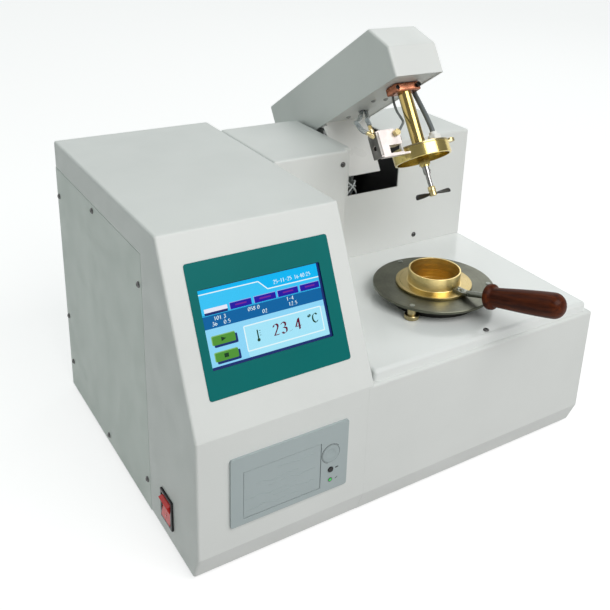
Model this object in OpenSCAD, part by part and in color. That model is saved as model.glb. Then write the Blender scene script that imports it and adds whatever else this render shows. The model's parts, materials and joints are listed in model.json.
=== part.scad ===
// Closed cup flash point tester: cabinet with console and printer, stove, test cup,
// and a lifting arm that carries the lid, the stirrer and the ignition block.
// Millimetres. The cabinet frame has X to the right, Y to the back and Z up.

/* [Cabinet] */
// Width of the whole cabinet
case_w = 450; // [430:1:480]
// Depth of the console side, from front plane to rear panel
case_d = 345; // [335:1:365]
// Height of the console, above the lower edge of its sheets
case_h = 290; // [284:1:310]
// Width of the console
console_w = 170; // [166:1:178]
// Height of the fold between the upright front and the sloping panel
knee_h = 141; // [138:1:144]
// Set-back of the sloping panel at its top edge
slope_set = 72; // [60:1:84]
// Set-back of the chamfer at the bottom front edge
chamfer_y = 10; // [6:1:16]
// Height of the chamfer at the bottom front edge
chamfer_z = 25; // [16:1:34]
// Thickness of the cabinet sheets
sheet = 1.5; // [1.2:0.1:1.8]
// Outer radius of the folded and ground edges
edge_r = 2.4; // [2:0.1:3]
// Height of the rubber feet
foot_h = 5; // [4:0.5:8]
// Radius of the rubber feet
foot_r = 11; // [8:0.5:14]
// Radius of the heads of the case screws
screw_r = 2.9; // [2.4:0.1:3.4]

/* [Side cover] */
// Distance of the cover's front edge from the front plane
cover_y = 104; // [98:1:110]
// Height of the cover's top edge
cover_z = 262; // [255:1:268]
// Open seam round the cover
seam = 0.6; // [0.4:0.1:0.8]

/* [Bench] */
// Depth of the bench side of the cabinet
bench_d = 325; // [322:1:330]
// Height of the raised tray on the bench
tray_h = 11; // [9:0.5:12]
// Set-back of the tray from the front plane
tray_front = 4; // [3:0.5:6]
// Set-back of the tray from the right side
tray_side = 7; // [5:0.5:9]
// Edge radius of the tray
tray_r = 3.5; // [2:0.5:4]

/* [Tower] */
// Right edge of the left tower box
box_right = 258; // [254:1:260]
// Front plane of the left tower box
box_front = 188; // [184:1:192]
// Back plane of the left tower box
box_back = 310; // [304:1:314]
// Front plane of the right tower housing
tower_front = 210; // [206:1:212]
// Drop of the tower housing below the console's top
tower_drop = 6; // [2:1:10]
// Width of the slot for the arm
slot_w = 68; // [66:1:70]
// Height of the sill of the slot
sill_z = 228; // [222:1:230]

/* [Stove and cup] */
// Place of the cup axis from the left side
cup_x = 309; // [306:1:312]
// Place of the cup axis from the front plane
cup_y = 94; // [90:1:98]
// Radius of the stove top plate
plate_r = 63; // [60:0.5:66]
// Thickness of the stove top plate
plate_t = 3; // [2.5:0.5:4]
// Height of the stove top plate's upper face above the tray
plate_rise = 14; // [13:0.5:15]
// Radius of the black stove can
can_r = 45.5; // [43:0.5:48]
// Radius of the circle of plate screws
plate_pcd_r = 57.5; // [55:0.5:58]
// Outer radius of the test cup
cup_r = 27; // [26:0.1:27.5]
// Bore radius of the test cup
cup_bore_r = 25.4; // [24.5:0.1:25.5]
// Depth inside the test cup
cup_depth = 56; // [54:0.5:58]
// Radius of the cup flange
flange_r = 39.5; // [38:0.5:41]
// Thickness of the cup flange
flange_t = 2.6; // [2:0.2:3.2]
// Height of the cup rim above its seat
rim_h = 16.5; // [15.5:0.5:18]

/* [Cup handle] */
// Direction of the handle, turned from straight forward
handle_turn = 12; // [8:1:26]
// Upward slope of the handle
handle_rise = 15; // [8:0.5:18]
// Distance of the handle's collar from the cup axis
grip_from = 68.5; // [66:0.5:72]
// Radius of the handle's collar
collar_r = 12.8; // [11:0.1:13.5]
// Radius of the thick end of the grip
grip_r = 12.3; // [11:0.1:13]
// Radius of the thin end of the grip
grip_neck_r = 9.7; // [7:0.1:10.5]
// Length of the handle
grip_len = 85; // [70:1:90]

/* [Arm] */
// Lift angle of the arm in the raised rest position
lift = 33; // [30:0.5:34]
// Place of the pivot from the front plane
pivot_y = 304; // [300:1:306]
// Height of the pivot
pivot_z = 178; // [176:1:182]
// Radius of the pivot shaft
shaft_r = 5; // [4:0.5:6]
// Width of the arm
arm_w = 60; // [58:0.5:62]
// Height of the arm
arm_h = 60; // [56:1:62]
// Length of the arm
arm_len = 264; // [258:1:266]
// Distance from the arm's front face to the column
column_set = 33.5; // [32:0.5:36]
// Height of the arm's front face below its chamfer
arm_nose_h = 31.5; // [28:0.5:36]
// Length of the chamfer at the arm's nose
arm_nose_l = 24; // [20:0.5:28]
// Height of the arm's underside when the lid is closed
under_z = 256; // [254:1:258]

/* [Head] */
// Radius of the lid
lid_r = 29.8; // [29:0.1:30.5]
// Height of the lid with its skirt
lid_h = 12.2; // [11:0.2:14]
// Depth of the recess that covers the cup rim
lid_recess = 6.5; // [5:0.5:8]
// Radius of the column tube
column_r = 7; // [6:0.1:8]
// Radius of the stirrer shaft
stir_r = 2.5; // [2:0.1:3]
// Depth of the stirrer tip below the cup rim
stir_depth = 44; // [40:0.5:48]
// Radius of the stirrer blade tips
blade_tip_r = 18.5; // [17:0.5:22]
// Travel of the shutter on the lid
shutter_turn = 28; // [20:1:32]

/* [Screen] */
// Width of the teal screen mask
mask_w = 133; // [128:1:138]
// Height of the screen mask along the slope
mask_h = 110.5; // [106:0.5:114]
// Distance of the mask's lower edge from the fold
mask_s = 29; // [25:0.5:33]
// Width of the display window
lcd_w = 113; // [108:1:116]
// Height of the display window
lcd_h = 65; // [60:1:68]
// Distance of the window's lower edge from the fold
lcd_s = 52; // [48:0.5:56]

/* [Printer] */
// Width of the printer panel
printer_w = 114; // [108:1:118]
// Height of the printer panel
printer_h = 68.5; // [64:0.5:72]
// Height of the printer panel's lower edge
printer_z = 48; // [44:1:50]
// Corner radius of the printer panel
printer_corner = 2; // [1:0.5:6]
// Thickness of the printer panel's rim
printer_t = 2.2; // [1.6:0.1:3]
// Width of the paper door
door_w = 74; // [72:1:78]
// Height of the paper door
door_h = 46.5; // [44:0.5:50]

/* [Rocker switch] */
// Width of the switch bezel
rocker_w = 25.5; // [24:0.5:27]
// Height of the switch bezel
rocker_h = 31; // [30:0.5:33]
// Distance of the switch centre from the front plane
rocker_y = 63.5; // [58:0.5:70]
// Height of the switch centre
rocker_z = 32.5; // [30:0.5:40]
// Swing of the rocker from off to on
rocker_swing = 14; // [10:1:16]

/* [Hidden] */

// Facets of full round pieces and of small rounds
round_fn = 96;
small_fn = 40;
tiny = 0.01;
fit = 0.04;        // radial clearance of turning fits
gap = 0.3;         // clearance between pieces that move past each other

// Derived places in the cabinet frame
tray_z = knee_h + tray_h;
tower_h = case_h - tower_drop;
tower_right = case_w - tray_side;
seat_z = tray_z + plate_rise;
rim_z = seat_z + rim_h;
slot_x = cup_x - slot_w / 2;
arm_x = cup_x - arm_w / 2;
arm_y = cup_y - column_set;
lid_z = rim_z - lid_recess + gap;
deck_z = lid_z + lid_h;
slope_deg = atan2(case_h - knee_h, slope_set);
mask_x = (console_w - mask_w) / 2;
lcd_x = (console_w - lcd_w) / 2 - 2.5;
printer_x = (console_w - printer_w) / 2 + 1;
door_x = printer_x + 12;
door_z = printer_z + 6;
rocker_out = 5;

// Origin of the part: middle of its box, on the surface it stands on
tail = [arm_y + arm_len - pivot_y, under_z + arm_h - pivot_z];
back_most = pivot_y + (tail[0] - edge_r) * cos(lift) + (tail[1] - edge_r) * sin(lift) + edge_r;
tip_reach = grip_from + grip_len * cos(handle_rise);
front_most = cup_y - tip_reach * cos(handle_turn) - 1.34;
org_x = (case_w - rocker_out) / 2;
org_y = (back_most + front_most) / 2;

module in_case() {
  translate([-org_x, -org_y, foot_h]) children();
}

// Places arm pieces, which are drawn with the arm lowered, at the raised rest position
module on_arm() {
  in_case()
    translate([0, pivot_y, pivot_z])
      rotate([-lift, 0, 0])
        translate([0, -pivot_y, -pivot_z])
          children();
}

// Local frame on the sloping panel: X across, Y up the slope, Z out of the face
module slope_frame() {
  translate([0, 0, knee_h]) rotate([slope_deg, 0, 0]) children();
}

module on_slope() {
  in_case() slope_frame() children();
}

module at_cup() {
  translate([cup_x, cup_y, 0]) children();
}

// Box from a low corner to a high corner
module span(a, b) {
  translate(a) cube(b - a);
}

// Box with rounded edges and corners
module soft_span(a, b, r) {
  soft_prism([[a[1], a[2]], [b[1], a[2]], [b[1], b[2]], [a[1], b[2]]], a[0], b[0], r);
}

// Corners of a convex outline moved inwards by t, for points listed anticlockwise
function unit(v) = v / norm(v);
function inward(a, b) = unit([a[1] - b[1], b[0] - a[0]]);
function inset(p, t) = [
  for (i = [0:len(p) - 1])
    let (
      n1 = inward(p[(i + len(p) - 1) % len(p)], p[i]),
      n2 = inward(p[i], p[(i + 1) % len(p)])
    )
    p[i] + (n1 + n2) * t / (1 + n1 * n2)
];

// Prism along X of an outline given in Y and Z
module side_prism(p, x0, x1) {
  translate([x0, 0, 0])
    rotate([90, 0, 90])
      linear_extrude(x1 - x0) polygon(p);
}

// The same prism with all its edges rounded: rings of one outline, whose corners are arcs
// about the inset corners, shrink towards both ends as a quarter circle does
arc_steps = 4;
end_angles = [9, 29, 49, 69, 90];
function corner_arc(p, i, r) =
  let (
    last = len(p) - 1,
    n1 = -inward(p[i == 0 ? last : i - 1], p[i]),
    turn = acos(n1 * -inward(p[i], p[i == last ? 0 : i + 1])),
    from = atan2(n1[1], n1[0])
  )
  [for (k = [0:arc_steps]) r * [cos(from + turn * k / arc_steps), sin(from + turn * k / arc_steps)]];
module soft_prism(p, x0, x1, r) {
  centres = inset(p, r);
  turns = concat(end_angles, [for (k = [len(end_angles) - 1:-1:0]) 180 - end_angles[k]]);
  first = r * cos(end_angles[0]);
  rings = [
    for (a = turns)
      let (x = a <= 90 ? x0 + first - r * cos(a) : x1 - first - r * cos(a))
        [for (i = [0:len(p) - 1], v = corner_arc(p, i, r * sin(a))) [x, centres[i][0] + v[0], centres[i][1] + v[1]]]
  ];
  n = len(rings[0]);
  m = len(rings);
  polyhedron(
    [for (ring = rings, v = ring) v],
    concat(
      [[for (k = [0:n - 1]) k]],
      [for (j = [0:m - 2], k = [0:n - 1])
        let (l = (k + 1) % n) [j * n + k, (j + 1) * n + k, (j + 1) * n + l, j * n + l]],
      [[for (k = [n - 1:-1:0]) (m - 1) * n + k]]
    ),
    convexity = 4
  );
}

// Rounded rectangle from its low corner
module soft_rect(w, h, r) {
  hull()
    for (x = [r, w - r], y = [r, h - r])
      translate([x, y]) circle(r, $fn = 32);
}

// Cylinder along X from x0 to x1
module x_rod(x0, x1, r, fn = small_fn) {
  translate([x0, 0, 0]) rotate([0, 90, 0]) cylinder(h = x1 - x0, r = r, $fn = fn);
}

// Cylinder along Y from y0 to y1
module y_rod(y0, y1, r, fn = small_fn) {
  translate([0, y1, 0]) rotate([90, 0, 0]) cylinder(h = y1 - y0, r = r, $fn = fn);
}

// Cylinder along Z from z0 to z1
module z_rod(z0, z1, r, fn = small_fn) {
  translate([0, 0, z0]) cylinder(h = z1 - z0, r = r, $fn = fn);
}

// Outline of the console side, and of the bench side, in Y and Z
console_profile = [
  [chamfer_y, 0], [case_d, 0], [case_d, case_h], [slope_set, case_h],
  [0, knee_h], [0, chamfer_z]
];
bench_profile = [
  [chamfer_y, 0], [bench_d, 0], [bench_d, knee_h], [0, knee_h], [0, chamfer_z]
];
// The same outlines run out below, for the hollow inside the sheets
below = 20;
chamfer_run = [chamfer_y * (1 + below / chamfer_z), -below];
console_hollow = inset([
  chamfer_run, [case_d + below, -below], [case_d + below, case_h],
  [slope_set, case_h], [0, knee_h], [0, chamfer_z]
], sheet);
bench_hollow = inset([
  chamfer_run, [bench_d, -below], [bench_d, knee_h], [0, knee_h], [0, chamfer_z]
], sheet);

// Console

ledge = 9;          // width of the joggled ledge that the side cover lies on

// One welded shell: the console on the left and the lower bench side on the right
module case_shell() {
  color([0.90, 0.92, 0.91])
    in_case()
      difference() {
        union() {
          difference() {
            union() {
              soft_prism(console_profile, 0, console_w, edge_r);
              soft_prism(bench_profile, console_w - 3 * edge_r, case_w, edge_r);
            }
            side_prism(console_hollow, sheet, console_w - sheet);
            side_prism(bench_hollow, console_w, case_w - sheet);
            // opening behind the side cover
            span([-1, cover_y, -1], [sheet + tiny, case_d + 1, cover_z]);
          }
          // joggled ledge behind the cover, along its front and its top edge
          span([sheet, cover_y - 3, sheet], [2 * sheet, cover_y + ledge, cover_z + 3]);
          span([sheet, cover_y + ledge, cover_z - ledge], [2 * sheet, case_d - sheet, cover_z + 3]);
        }
        slope_frame() translate([lcd_x - 3, lcd_s - 3, -10]) cube([lcd_w + 6, lcd_h + 6, 20]);
        // opening for the printer
        span([bay_x[0] - gap, -5, bay_z[0] - gap], [button_x + 11, 10, bay_z[1] + gap]);
        // the base plate runs in under the wall between the two sides
        span([sheet, base_front - 0.1, -1], [console_w + 1, case_d + 1, sheet]);
        // opening for the rocker switch body
        translate([0, rocker_y, rocker_z])
          span([-5, -rocker_w / 2 + 1.6, -rocker_h / 2 + 1.4], [5, rocker_w / 2 - 1.6, rocker_h / 2 - 1.4]);
        // round opening for the stove, and the hole of the tray screw
        at_cup() z_rod(knee_h - 10, knee_h + 10, can_hole_r, round_fn);
        translate([cup_x, tray_front + 7, 0]) z_rod(knee_h - 4, knee_h + 4, screw_shank_r + 0.1, 20);
        cover_screw_holes();
      }
}

module cover_screw_holes() {
  for (s = cover_screws)
    translate([0, s[0], s[1]]) x_rod(sheet - 0.5, 2 * sheet + 1, screw_shank_r + 0.02, 20);
}

module side_cover() {
  color([0.87, 0.90, 0.88])
    in_case()
      difference() {
        span([0, cover_y + seam, 0.2], [sheet - 0.05, case_d - 0.2, cover_z - seam]);
        for (s = cover_screws)
          translate([0, s[0], s[1]]) x_rod(-1, sheet + 1, screw_shank_r + 0.3, 24);
      }
}

base_front = chamfer_y + 1.1 * sheet + 0.2;
flange_w = 15;      // folded edges that the cover screws go into
module base_plate() {
  color([0.75, 0.78, 0.77])
    in_case()
      difference() {
        union() {
          span([sheet, base_front, 0], [console_w + 1, case_d, sheet]);
          span([console_w, base_front, 0], [case_w - sheet, bench_d - sheet, sheet]);
          span([sheet, cover_y + ledge + 1, 0], [2 * sheet, case_d - 1.5 * flange_w, flange_w]);
        }
        cover_screw_holes();
      }
}

foot_inset = 26;
foot_x = [foot_inset, console_w - 20, case_w - foot_inset];
module rubber_feet() {
  color([0.08, 0.08, 0.08])
    in_case()
      for (x = foot_x, y = [foot_inset + 8, bench_d - foot_inset - 4])
        translate([x, y, 0])
          rotate_extrude($fn = small_fn)
            polygon([[0, -foot_h], [foot_r - 1.5, -foot_h], [foot_r - 0.6, -foot_h + 0.6], [foot_r, 0], [0, 0]]);
}

inlet_x = 40;
inlet_z = 34;
fan_x = 122;
fan_z = 70;
fan_size = 60;
fan_bore_r = 27.5;
module console_rear_panel() {
  difference() {
    union() {
      span([sheet, case_d - sheet, sheet], [console_w - sheet, case_d, case_h - sheet]);
      span(
        [sheet, case_d - flange_w, sheet], [2 * sheet, case_d - sheet + tiny, cover_z - ledge - 0.2]
      );
    }
    span([inlet_x - 13.8, case_d - 5, inlet_z - 10.1], [inlet_x + 13.8, case_d + 5, inlet_z + 10.1]);
    // ring slots of the fan grille
    for (r = [9, 15, 21])
      translate([fan_x, case_d + 1, fan_z])
        rotate([90, 0, 0])
          difference() {
            cylinder(h = 10, r = r + 4, $fn = small_fn);
            translate([0, 0, -1]) cylinder(h = 12, r = r, $fn = small_fn);
            for (k = [0:2])
              rotate(60 * k) translate([-40, -1.2, -1]) cube([80, 2.4, 12]);
          }
    // cooling slots higher up
    for (k = [0:7])
      span([30 + 14 * k, case_d - 5, 190], [35 + 14 * k, case_d + 5, 240]);
    for (p = console_rear_screws)
      translate([p[0], 0, p[1]]) y_rod(case_d - 5, case_d + 5, screw_shank_r + 0.02, 20);
    cover_screw_holes();
  }
}

rear_sill_z = sill_z - 14;     // low enough for the cheeks when the arm is raised
vent_w = 4;
vent_from = slot_x + slot_w + 4 * vent_w;
vent_pitch = (tower_right - 5 * vent_w - vent_from) / 6.4;
module tower_rear_panel() {
  difference() {
    span([box_right + 0.2, bench_d - sheet, tray_z], [tower_right - 0.1, bench_d, tower_h - 0.2]);
    span([slot_x, bench_d - 5, rear_sill_z], [slot_x + slot_w, bench_d + 5, tower_h + 1]);
    for (k = [0:6])
      span(
        [vent_from + vent_pitch * k, bench_d - 5, 190],
        [vent_from + vent_pitch * (k + 0.4), bench_d + 5, 240]
      );
    for (p = tower_rear_screws)
      translate([p[0], 0, p[1]]) y_rod(bench_d - 5, bench_d + 5, screw_shank_r + 0.02, 20);
  }
}

module rear_panels() {
  color([0.86, 0.88, 0.87])
    in_case() {
      console_rear_panel();
      tower_rear_panel();
    }
}

// Case screws: pan heads with a cross recess
screw_shank_r = 1.5;
tower_screw_x = slot_x + slot_w + 29;
cover_screws = [
  [cover_y + 7, 231], [cover_y + 7, 31], [228, cover_z - 7],
  [case_d - 6, 231], [case_d - 6, 90], [case_d - 10, 34], [220, 9]
];
console_rear_screws = [for (x = [12, console_w - 12], z = [14, case_h - 14]) [x, z]];
tower_rear_screws = [for (x = [tower_right - 24, slot_x + slot_w + 20], z = [tray_z + 18, tower_h - 22]) [x, z]];
module pan_screw(len = 5) {
  difference() {
    union() {
      rotate_extrude($fn = 28)
        polygon([
          [0, 0], [screw_r, 0], [screw_r, 0.5], [screw_r * 0.86, 1.1], [screw_r * 0.6, 1.6],
          [screw_r * 0.3, 1.85], [0, 1.9]
        ]);
      translate([0, 0, -len]) cylinder(h = len + tiny, r = screw_shank_r, $fn = 20);
    }
    for (a = [0, 90])
      rotate(a) translate([-1.5, -0.28, 1]) cube([3, 0.56, 2]);
  }
}

module case_screws() {
  color([0.75, 0.76, 0.78])
    in_case() {
      for (s = cover_screws)
        translate([0, s[0], s[1]]) rotate([0, -90, 0]) pan_screw(2.6);
      for (x = [box_right - 6, console_w + 14])
        translate([x, box_front, case_h - 15]) rotate([90, 0, 0]) pan_screw(4);
      translate([tower_screw_x, tower_front, tray_z + 11]) rotate([90, 0, 0]) pan_screw(4);
      translate([cup_x, tray_front + 7, tray_z]) pan_screw(4);
      for (p = tower_rear_screws)
        translate([p[0], bench_d, p[1]]) rotate([-90, 0, 0]) pan_screw(4);
      for (p = console_rear_screws)
        translate([p[0], case_d, p[1]]) rotate([-90, 0, 0]) pan_screw(4);
    }
}

// Bench

can_hole_r = can_r + 0.5;
module bench_tray() {
  color([0.91, 0.93, 0.93])
    in_case()
      difference() {
        soft_span(
          [console_w + 2.5, tray_front, knee_h - tray_r], [tower_right, bench_d, tray_z], tray_r
        );
        span([0, -10, knee_h - 20], [case_w + 1, case_d + 20, knee_h]);
        span(
          [console_w + 2.5 + sheet, tray_front + sheet, knee_h - 1],
          [tower_right - sheet, bench_d - sheet, tray_z - sheet]
        );
        at_cup() z_rod(knee_h, tray_z + 1, can_hole_r, round_fn);
        translate([cup_x, tray_front + 7, 0]) z_rod(tray_z - 5, tray_z + 5, screw_shank_r + 0.1, 20);
      }
}

// Tower

module tower_left_box() {
  color([0.89, 0.91, 0.89])
    in_case()
      difference() {
        soft_span([console_w + 0.3, box_front, tray_z - 6], [box_right - 0.1, box_back, case_h], edge_r);
        span([0, 0, tray_z - 20], [case_w, case_d + 9, tray_z]);
        span(
          [console_w + 0.3 + sheet, box_front + sheet, tray_z - 1],
          [box_right - 0.1 - sheet, box_back - sheet, case_h - sheet]
        );
        for (x = [box_right - 6, console_w + 14])
          translate([x, 0, case_h - 15]) y_rod(box_front - 5, box_front + 5, screw_shank_r + 0.1, 20);
      }
}

module tower_housing() {
  color([0.90, 0.92, 0.92])
    in_case()
      difference() {
        soft_span([box_right + 0.1, tower_front, tray_z - 6], [tower_right, bench_d + 8, tower_h], edge_r);
        span([0, 0, tray_z - 20], [case_w + 1, case_d + 9, tray_z]);
        span([0, bench_d - sheet, 0], [case_w + 1, bench_d + 20, case_h]);
        span(
          [box_right + 0.1 + sheet, tower_front + sheet, tray_z - 1],
          [tower_right - sheet, bench_d + 1, tower_h - sheet]
        );
        span([slot_x, tower_front - 2, sill_z], [slot_x + slot_w, bench_d + 2, tower_h + 2]);
        translate([tower_screw_x, 0, tray_z + 11])
          y_rod(tower_front - 5, tower_front + 5, screw_shank_r + 0.1, 20);
      }
}

// Two black cheeks and a floor that carry the pivot between them
well_t = 2;
bush_r = 8;
well_x = [slot_x - 0.5 - well_t, slot_x + slot_w + 0.5];
module arm_well() {
  color([0.07, 0.07, 0.08])
    in_case()
      union() {
        for (x = well_x)
          difference() {
            span([x, tower_front + sheet, tray_z], [x + well_t, bench_d - sheet, tower_h - sheet]);
            translate([0, pivot_y, pivot_z]) x_rod(x - 1, x + well_t + 1, bush_r, round_fn);
          }
        span(
          [well_x[0] + well_t, tower_front + sheet, tray_z],
          [well_x[1], bench_d - sheet, tray_z + well_t]
        );
      }
}

module pivot_bushes() {
  color([0.72, 0.55, 0.30])
    in_case()
      translate([0, pivot_y, pivot_z])
        for (k = [0, 1])
          difference() {
            union() {
              x_rod(well_x[k] - 0.5 * k, well_x[k] + well_t + 0.5 * (1 - k), bush_r, round_fn);
              x_rod(
                well_x[k] + (k == 0 ? well_t : -2), well_x[k] + (k == 0 ? well_t + 2 : 0),
                bush_r + 2.5, round_fn
              );
            }
            x_rod(well_x[k] - 5, well_x[k] + 8, shaft_r + fit, round_fn);
          }
}

motor_x = well_x[1] + well_t;
motor_flange = [4, 36, 44];
gear_end = 32;
gear_r = 16;
motor_end = 74;
module lift_gearmotor() {
  color([0.30, 0.31, 0.33])
    in_case()
      translate([0, pivot_y, pivot_z])
        difference() {
          union() {
            translate([motor_x, -motor_flange[1] / 2, -motor_flange[2] / 2]) cube(motor_flange);
            x_rod(motor_x + motor_flange[0] - tiny, motor_x + gear_end, gear_r, round_fn);
            x_rod(motor_x + gear_end - tiny, motor_x + motor_end, gear_r - 1.5, round_fn);
          }
          x_rod(motor_x - 1, motor_x + gear_end / 2, shaft_r + fit, round_fn);
        }
}

// Screen

module screen_mask() {
  color([0.02, 0.42, 0.44])
    on_slope()
      translate([mask_x, mask_s, 0])
        linear_extrude(0.5)
          difference() {
            soft_rect(mask_w, mask_h, 2.5);
            translate([lcd_x - mask_x, lcd_s - mask_s]) soft_rect(lcd_w, lcd_h, 0.8);
          }
}

module display_frame() {
  color([0.05, 0.08, 0.28])
    on_slope()
      difference() {
        translate([lcd_x - 2.8, lcd_s - 2.8, -5]) cube([lcd_w + 5.6, lcd_h + 5.6, 5 - tiny]);
        translate([lcd_x - 0.01, lcd_s - 0.01, -3]) cube([lcd_w + 0.02, lcd_h + 0.02, 5]);
      }
}

module display_panel() {
  color([0.15, 0.55, 0.85])
    on_slope()
      translate([lcd_x, lcd_s, -3]) cube([lcd_w, lcd_h, 1]);
}

module control_board() {
  color([0.05, 0.35, 0.15])
    on_slope()
      union() {
        translate([lcd_x - 2, lcd_s - 8, -15]) cube([lcd_w + 4, lcd_h + 16, 1.6]);
        for (x = [lcd_x + 1, lcd_x + lcd_w - 7], y = [lcd_s, lcd_s + lcd_h - 6])
          translate([x, y, -13.5]) cube([6, 6, 8.5]);
        translate([lcd_x + 20, lcd_s + 10, -18]) cube([22, 22, 3.1]);
        translate([lcd_x + 60, lcd_s + 30, -20]) cube([34, 14, 5.1]);
      }
}

psu_w = 110;
psu_d = 110;
psu_top = 46;
psu_x = (console_w - psu_w) / 2;
psu_y = case_d - 45 - psu_d;     // the inlet and the fan have the room behind it
module power_supply() {
  color([0.70, 0.72, 0.74])
    in_case()
      difference() {
        span([psu_x, psu_y, sheet], [psu_x + psu_w, psu_y + psu_d, psu_top]);
        for (k = [0:8])
          translate([psu_x + 10 + 11 * k, psu_y + 10, psu_top - 2]) cube([5, psu_d - 20, 5]);
      }
}

// Printer

bay_depth = 46;
button_x = printer_x + 96.6;
button_z = 87;
button_r = 8.6;
feed_z = 70;
feed_r = 2.6;
lamp_z = 59;
door_t = 2;         // how far the door reaches behind the panel
door_gap = 0.5;
hinge_z = door_z + 1.9;
hinge_y = -0.6;
bay_wall = 1.6;
bay_x = [door_x - 3, door_x + door_w + 3];
bay_z = [door_z - 4, door_z + door_h + 8];
block_back = 3.4;   // front face of the switch block behind the buttons
button_travel = 1.2;
roll_r = 17;
roll_w = 57;

module printer_frame() {
  color([0.72, 0.73, 0.74])
    in_case()
      difference() {
        union() {
          translate([printer_x, 0, printer_z])
            rotate([90, 0, 0])
              linear_extrude(printer_t) soft_rect(printer_w, printer_h, printer_corner);
          // bay behind the door
          span([bay_x[0], 0, bay_z[0]], [bay_x[1], bay_depth, bay_z[1]]);
          // switch block behind the buttons and the lamp
          span([bay_x[1] - tiny, block_back, lamp_z - 6], [button_x + 10, 14, button_z + 9]);
        }
        span(
          [door_x - door_gap, -9, door_z - door_gap - 0.1],
          [door_x + door_w + door_gap, door_t + 1.4, door_z + door_h + door_gap]
        );
        span(
          [bay_x[0] + bay_wall, door_t, bay_z[0] + bay_wall],
          [bay_x[1] - bay_wall, bay_depth - bay_wall, bay_z[1] - bay_wall]
        );
        translate([button_x, 0, button_z]) y_rod(-9, 1, button_r + 0.35, round_fn);
        translate([button_x, 0, button_z]) y_rod(0, block_back, button_r + 1.3, round_fn);
        translate([button_x, 0, feed_z]) y_rod(-9, 1, feed_r + 0.3, 28);
        translate([button_x, 0, lamp_z]) y_rod(-9, 1, 1.6, 28);
        // bores of the door hinge pins
        translate([0, hinge_y, hinge_z]) x_rod(door_x - 2.8, door_x + door_w + 2.8, 1 + fit, 28);
      }
}

roller_y = door_t + 3.8;
roller_z = door_z + door_h - 5;
roller_r = 3.2;
module printer_door() {
  color([0.70, 0.71, 0.72])
    in_case()
      difference() {
        union() {
          span([door_x, gap - printer_t, door_z], [door_x + door_w, door_t, door_z + door_h]);
          // hinge pins at both ends
          translate([0, hinge_y, hinge_z]) x_rod(door_x - 2.4, door_x + door_w + 2.4, 1, 28);
          // lugs that hold the platen roller
          for (x = [door_x + 5, door_x + door_w - 7.5])
            span([x, door_t - 0.1, door_z + door_h - 9], [x + 2.5, roller_y + 2.6, door_z + door_h - 1.5]);
        }
        // seat of the roller axle in both lugs
        translate([0, roller_y, roller_z])
          x_rod(door_x + 4, door_x + door_w - 4, 1.2 + fit, 28);
      }
}

module platen_roller() {
  color([0.12, 0.12, 0.13])
    in_case()
      translate([0, roller_y, roller_z])
        union() {
          x_rod(door_x + 8, door_x + door_w - 8, roller_r, small_fn);
          x_rod(door_x + 5.2, door_x + door_w - 5.2, 1.2, 28);
        }
}

roll_y = bay_depth - bay_wall - roll_r - gap;
roll_z = bay_z[0] + bay_wall + roll_r + gap;
module paper_roll() {
  color([0.96, 0.96, 0.95])
    in_case()
      translate([door_x + (door_w - roll_w) / 2, roll_y, roll_z])
        difference() {
          x_rod(0, roll_w, roll_r, round_fn);
          x_rod(-1, roll_w + 1, 6, round_fn);
        }
}

// Each button is held against the back of the panel by its rim
module door_button() {
  color([0.66, 0.67, 0.68])
    in_case()
      translate([button_x, 0, button_z])
        difference() {
          union() {
            y_rod(-printer_t - 0.1, gap + tiny, button_r, round_fn);
            y_rod(gap, block_back - button_travel - gap, button_r + 0.8, round_fn);
          }
          // finger dish
          translate([0, -printer_t - 16.4, 0]) sphere(17, $fn = round_fn);
        }
}

module feed_button() {
  color([0.05, 0.05, 0.05])
    in_case()
      translate([button_x, 0, feed_z])
        union() {
          y_rod(-printer_t - 0.7, gap + tiny, feed_r, 28);
          y_rod(gap, block_back - button_travel - gap, feed_r + 1, 28);
        }
}

module printer_lamp() {
  color([0.10, 0.60, 0.20])
    in_case()
      translate([button_x, 0, lamp_z])
        union() {
          y_rod(-printer_t - 0.1, tiny, 1.5, 28);
          y_rod(0, block_back, 2.2, 28);
        }
}

// Rocker switch, in its own frame: X out of the left side, Y to the back

rocker_ax = 6;
module rocker_bezel() {
  color([0.04, 0.04, 0.04])
    in_case()
      translate([0, rocker_y, rocker_z])
        difference() {
          union() {
            difference() {
              soft_span([-2, -rocker_w / 2, -rocker_h / 2], [1, rocker_w / 2, rocker_h / 2], 0.9);
              span([0, -rocker_w, -rocker_h], [5, rocker_w, rocker_h]);
            }
            span([-1, -rocker_w / 2 + 1.8, -rocker_h / 2 + 1.6], [22, rocker_w / 2 - 1.8, rocker_h / 2 - 1.6]);
            for (y = [-7, 7], z = [-8, 8])
              span([22 - tiny, y - 0.4, z - 3], [30, y + 0.4, z + 3]);
          }
          span([-5, -rocker_w / 2 + 3, -rocker_h / 2 + 2.6], [15, rocker_w / 2 - 3, rocker_h / 2 - 2.6]);
          translate([rocker_ax, 0, 0]) y_rod(-rocker_w / 2 + 2, rocker_w / 2 - 2, 1 + fit, 28);
        }
}

module rocker() {
  color([0.80, 0.08, 0.06])
    in_case()
      translate([rocker_ax, rocker_y, rocker_z])
        union() {
          rotate([0, -rocker_swing / 2, 0])
            translate([-rocker_ax, 0, 0])
              rotate([90, 0, 0])
                linear_extrude(rocker_w - 7, center = true)
                  polygon([
                    [-rocker_out + 1.2, -rocker_h / 2 + 5.4], [-rocker_out + 4, 0],
                    [-rocker_out + 1.2, rocker_h / 2 - 5.4], [2, rocker_h / 2 - 4.4],
                    [9, 3], [9, -3], [2, -rocker_h / 2 + 4.4]
                  ]);
          y_rod(-rocker_w / 2 + 2.2, rocker_w / 2 - 2.2, 1, 28);
        }
}

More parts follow.
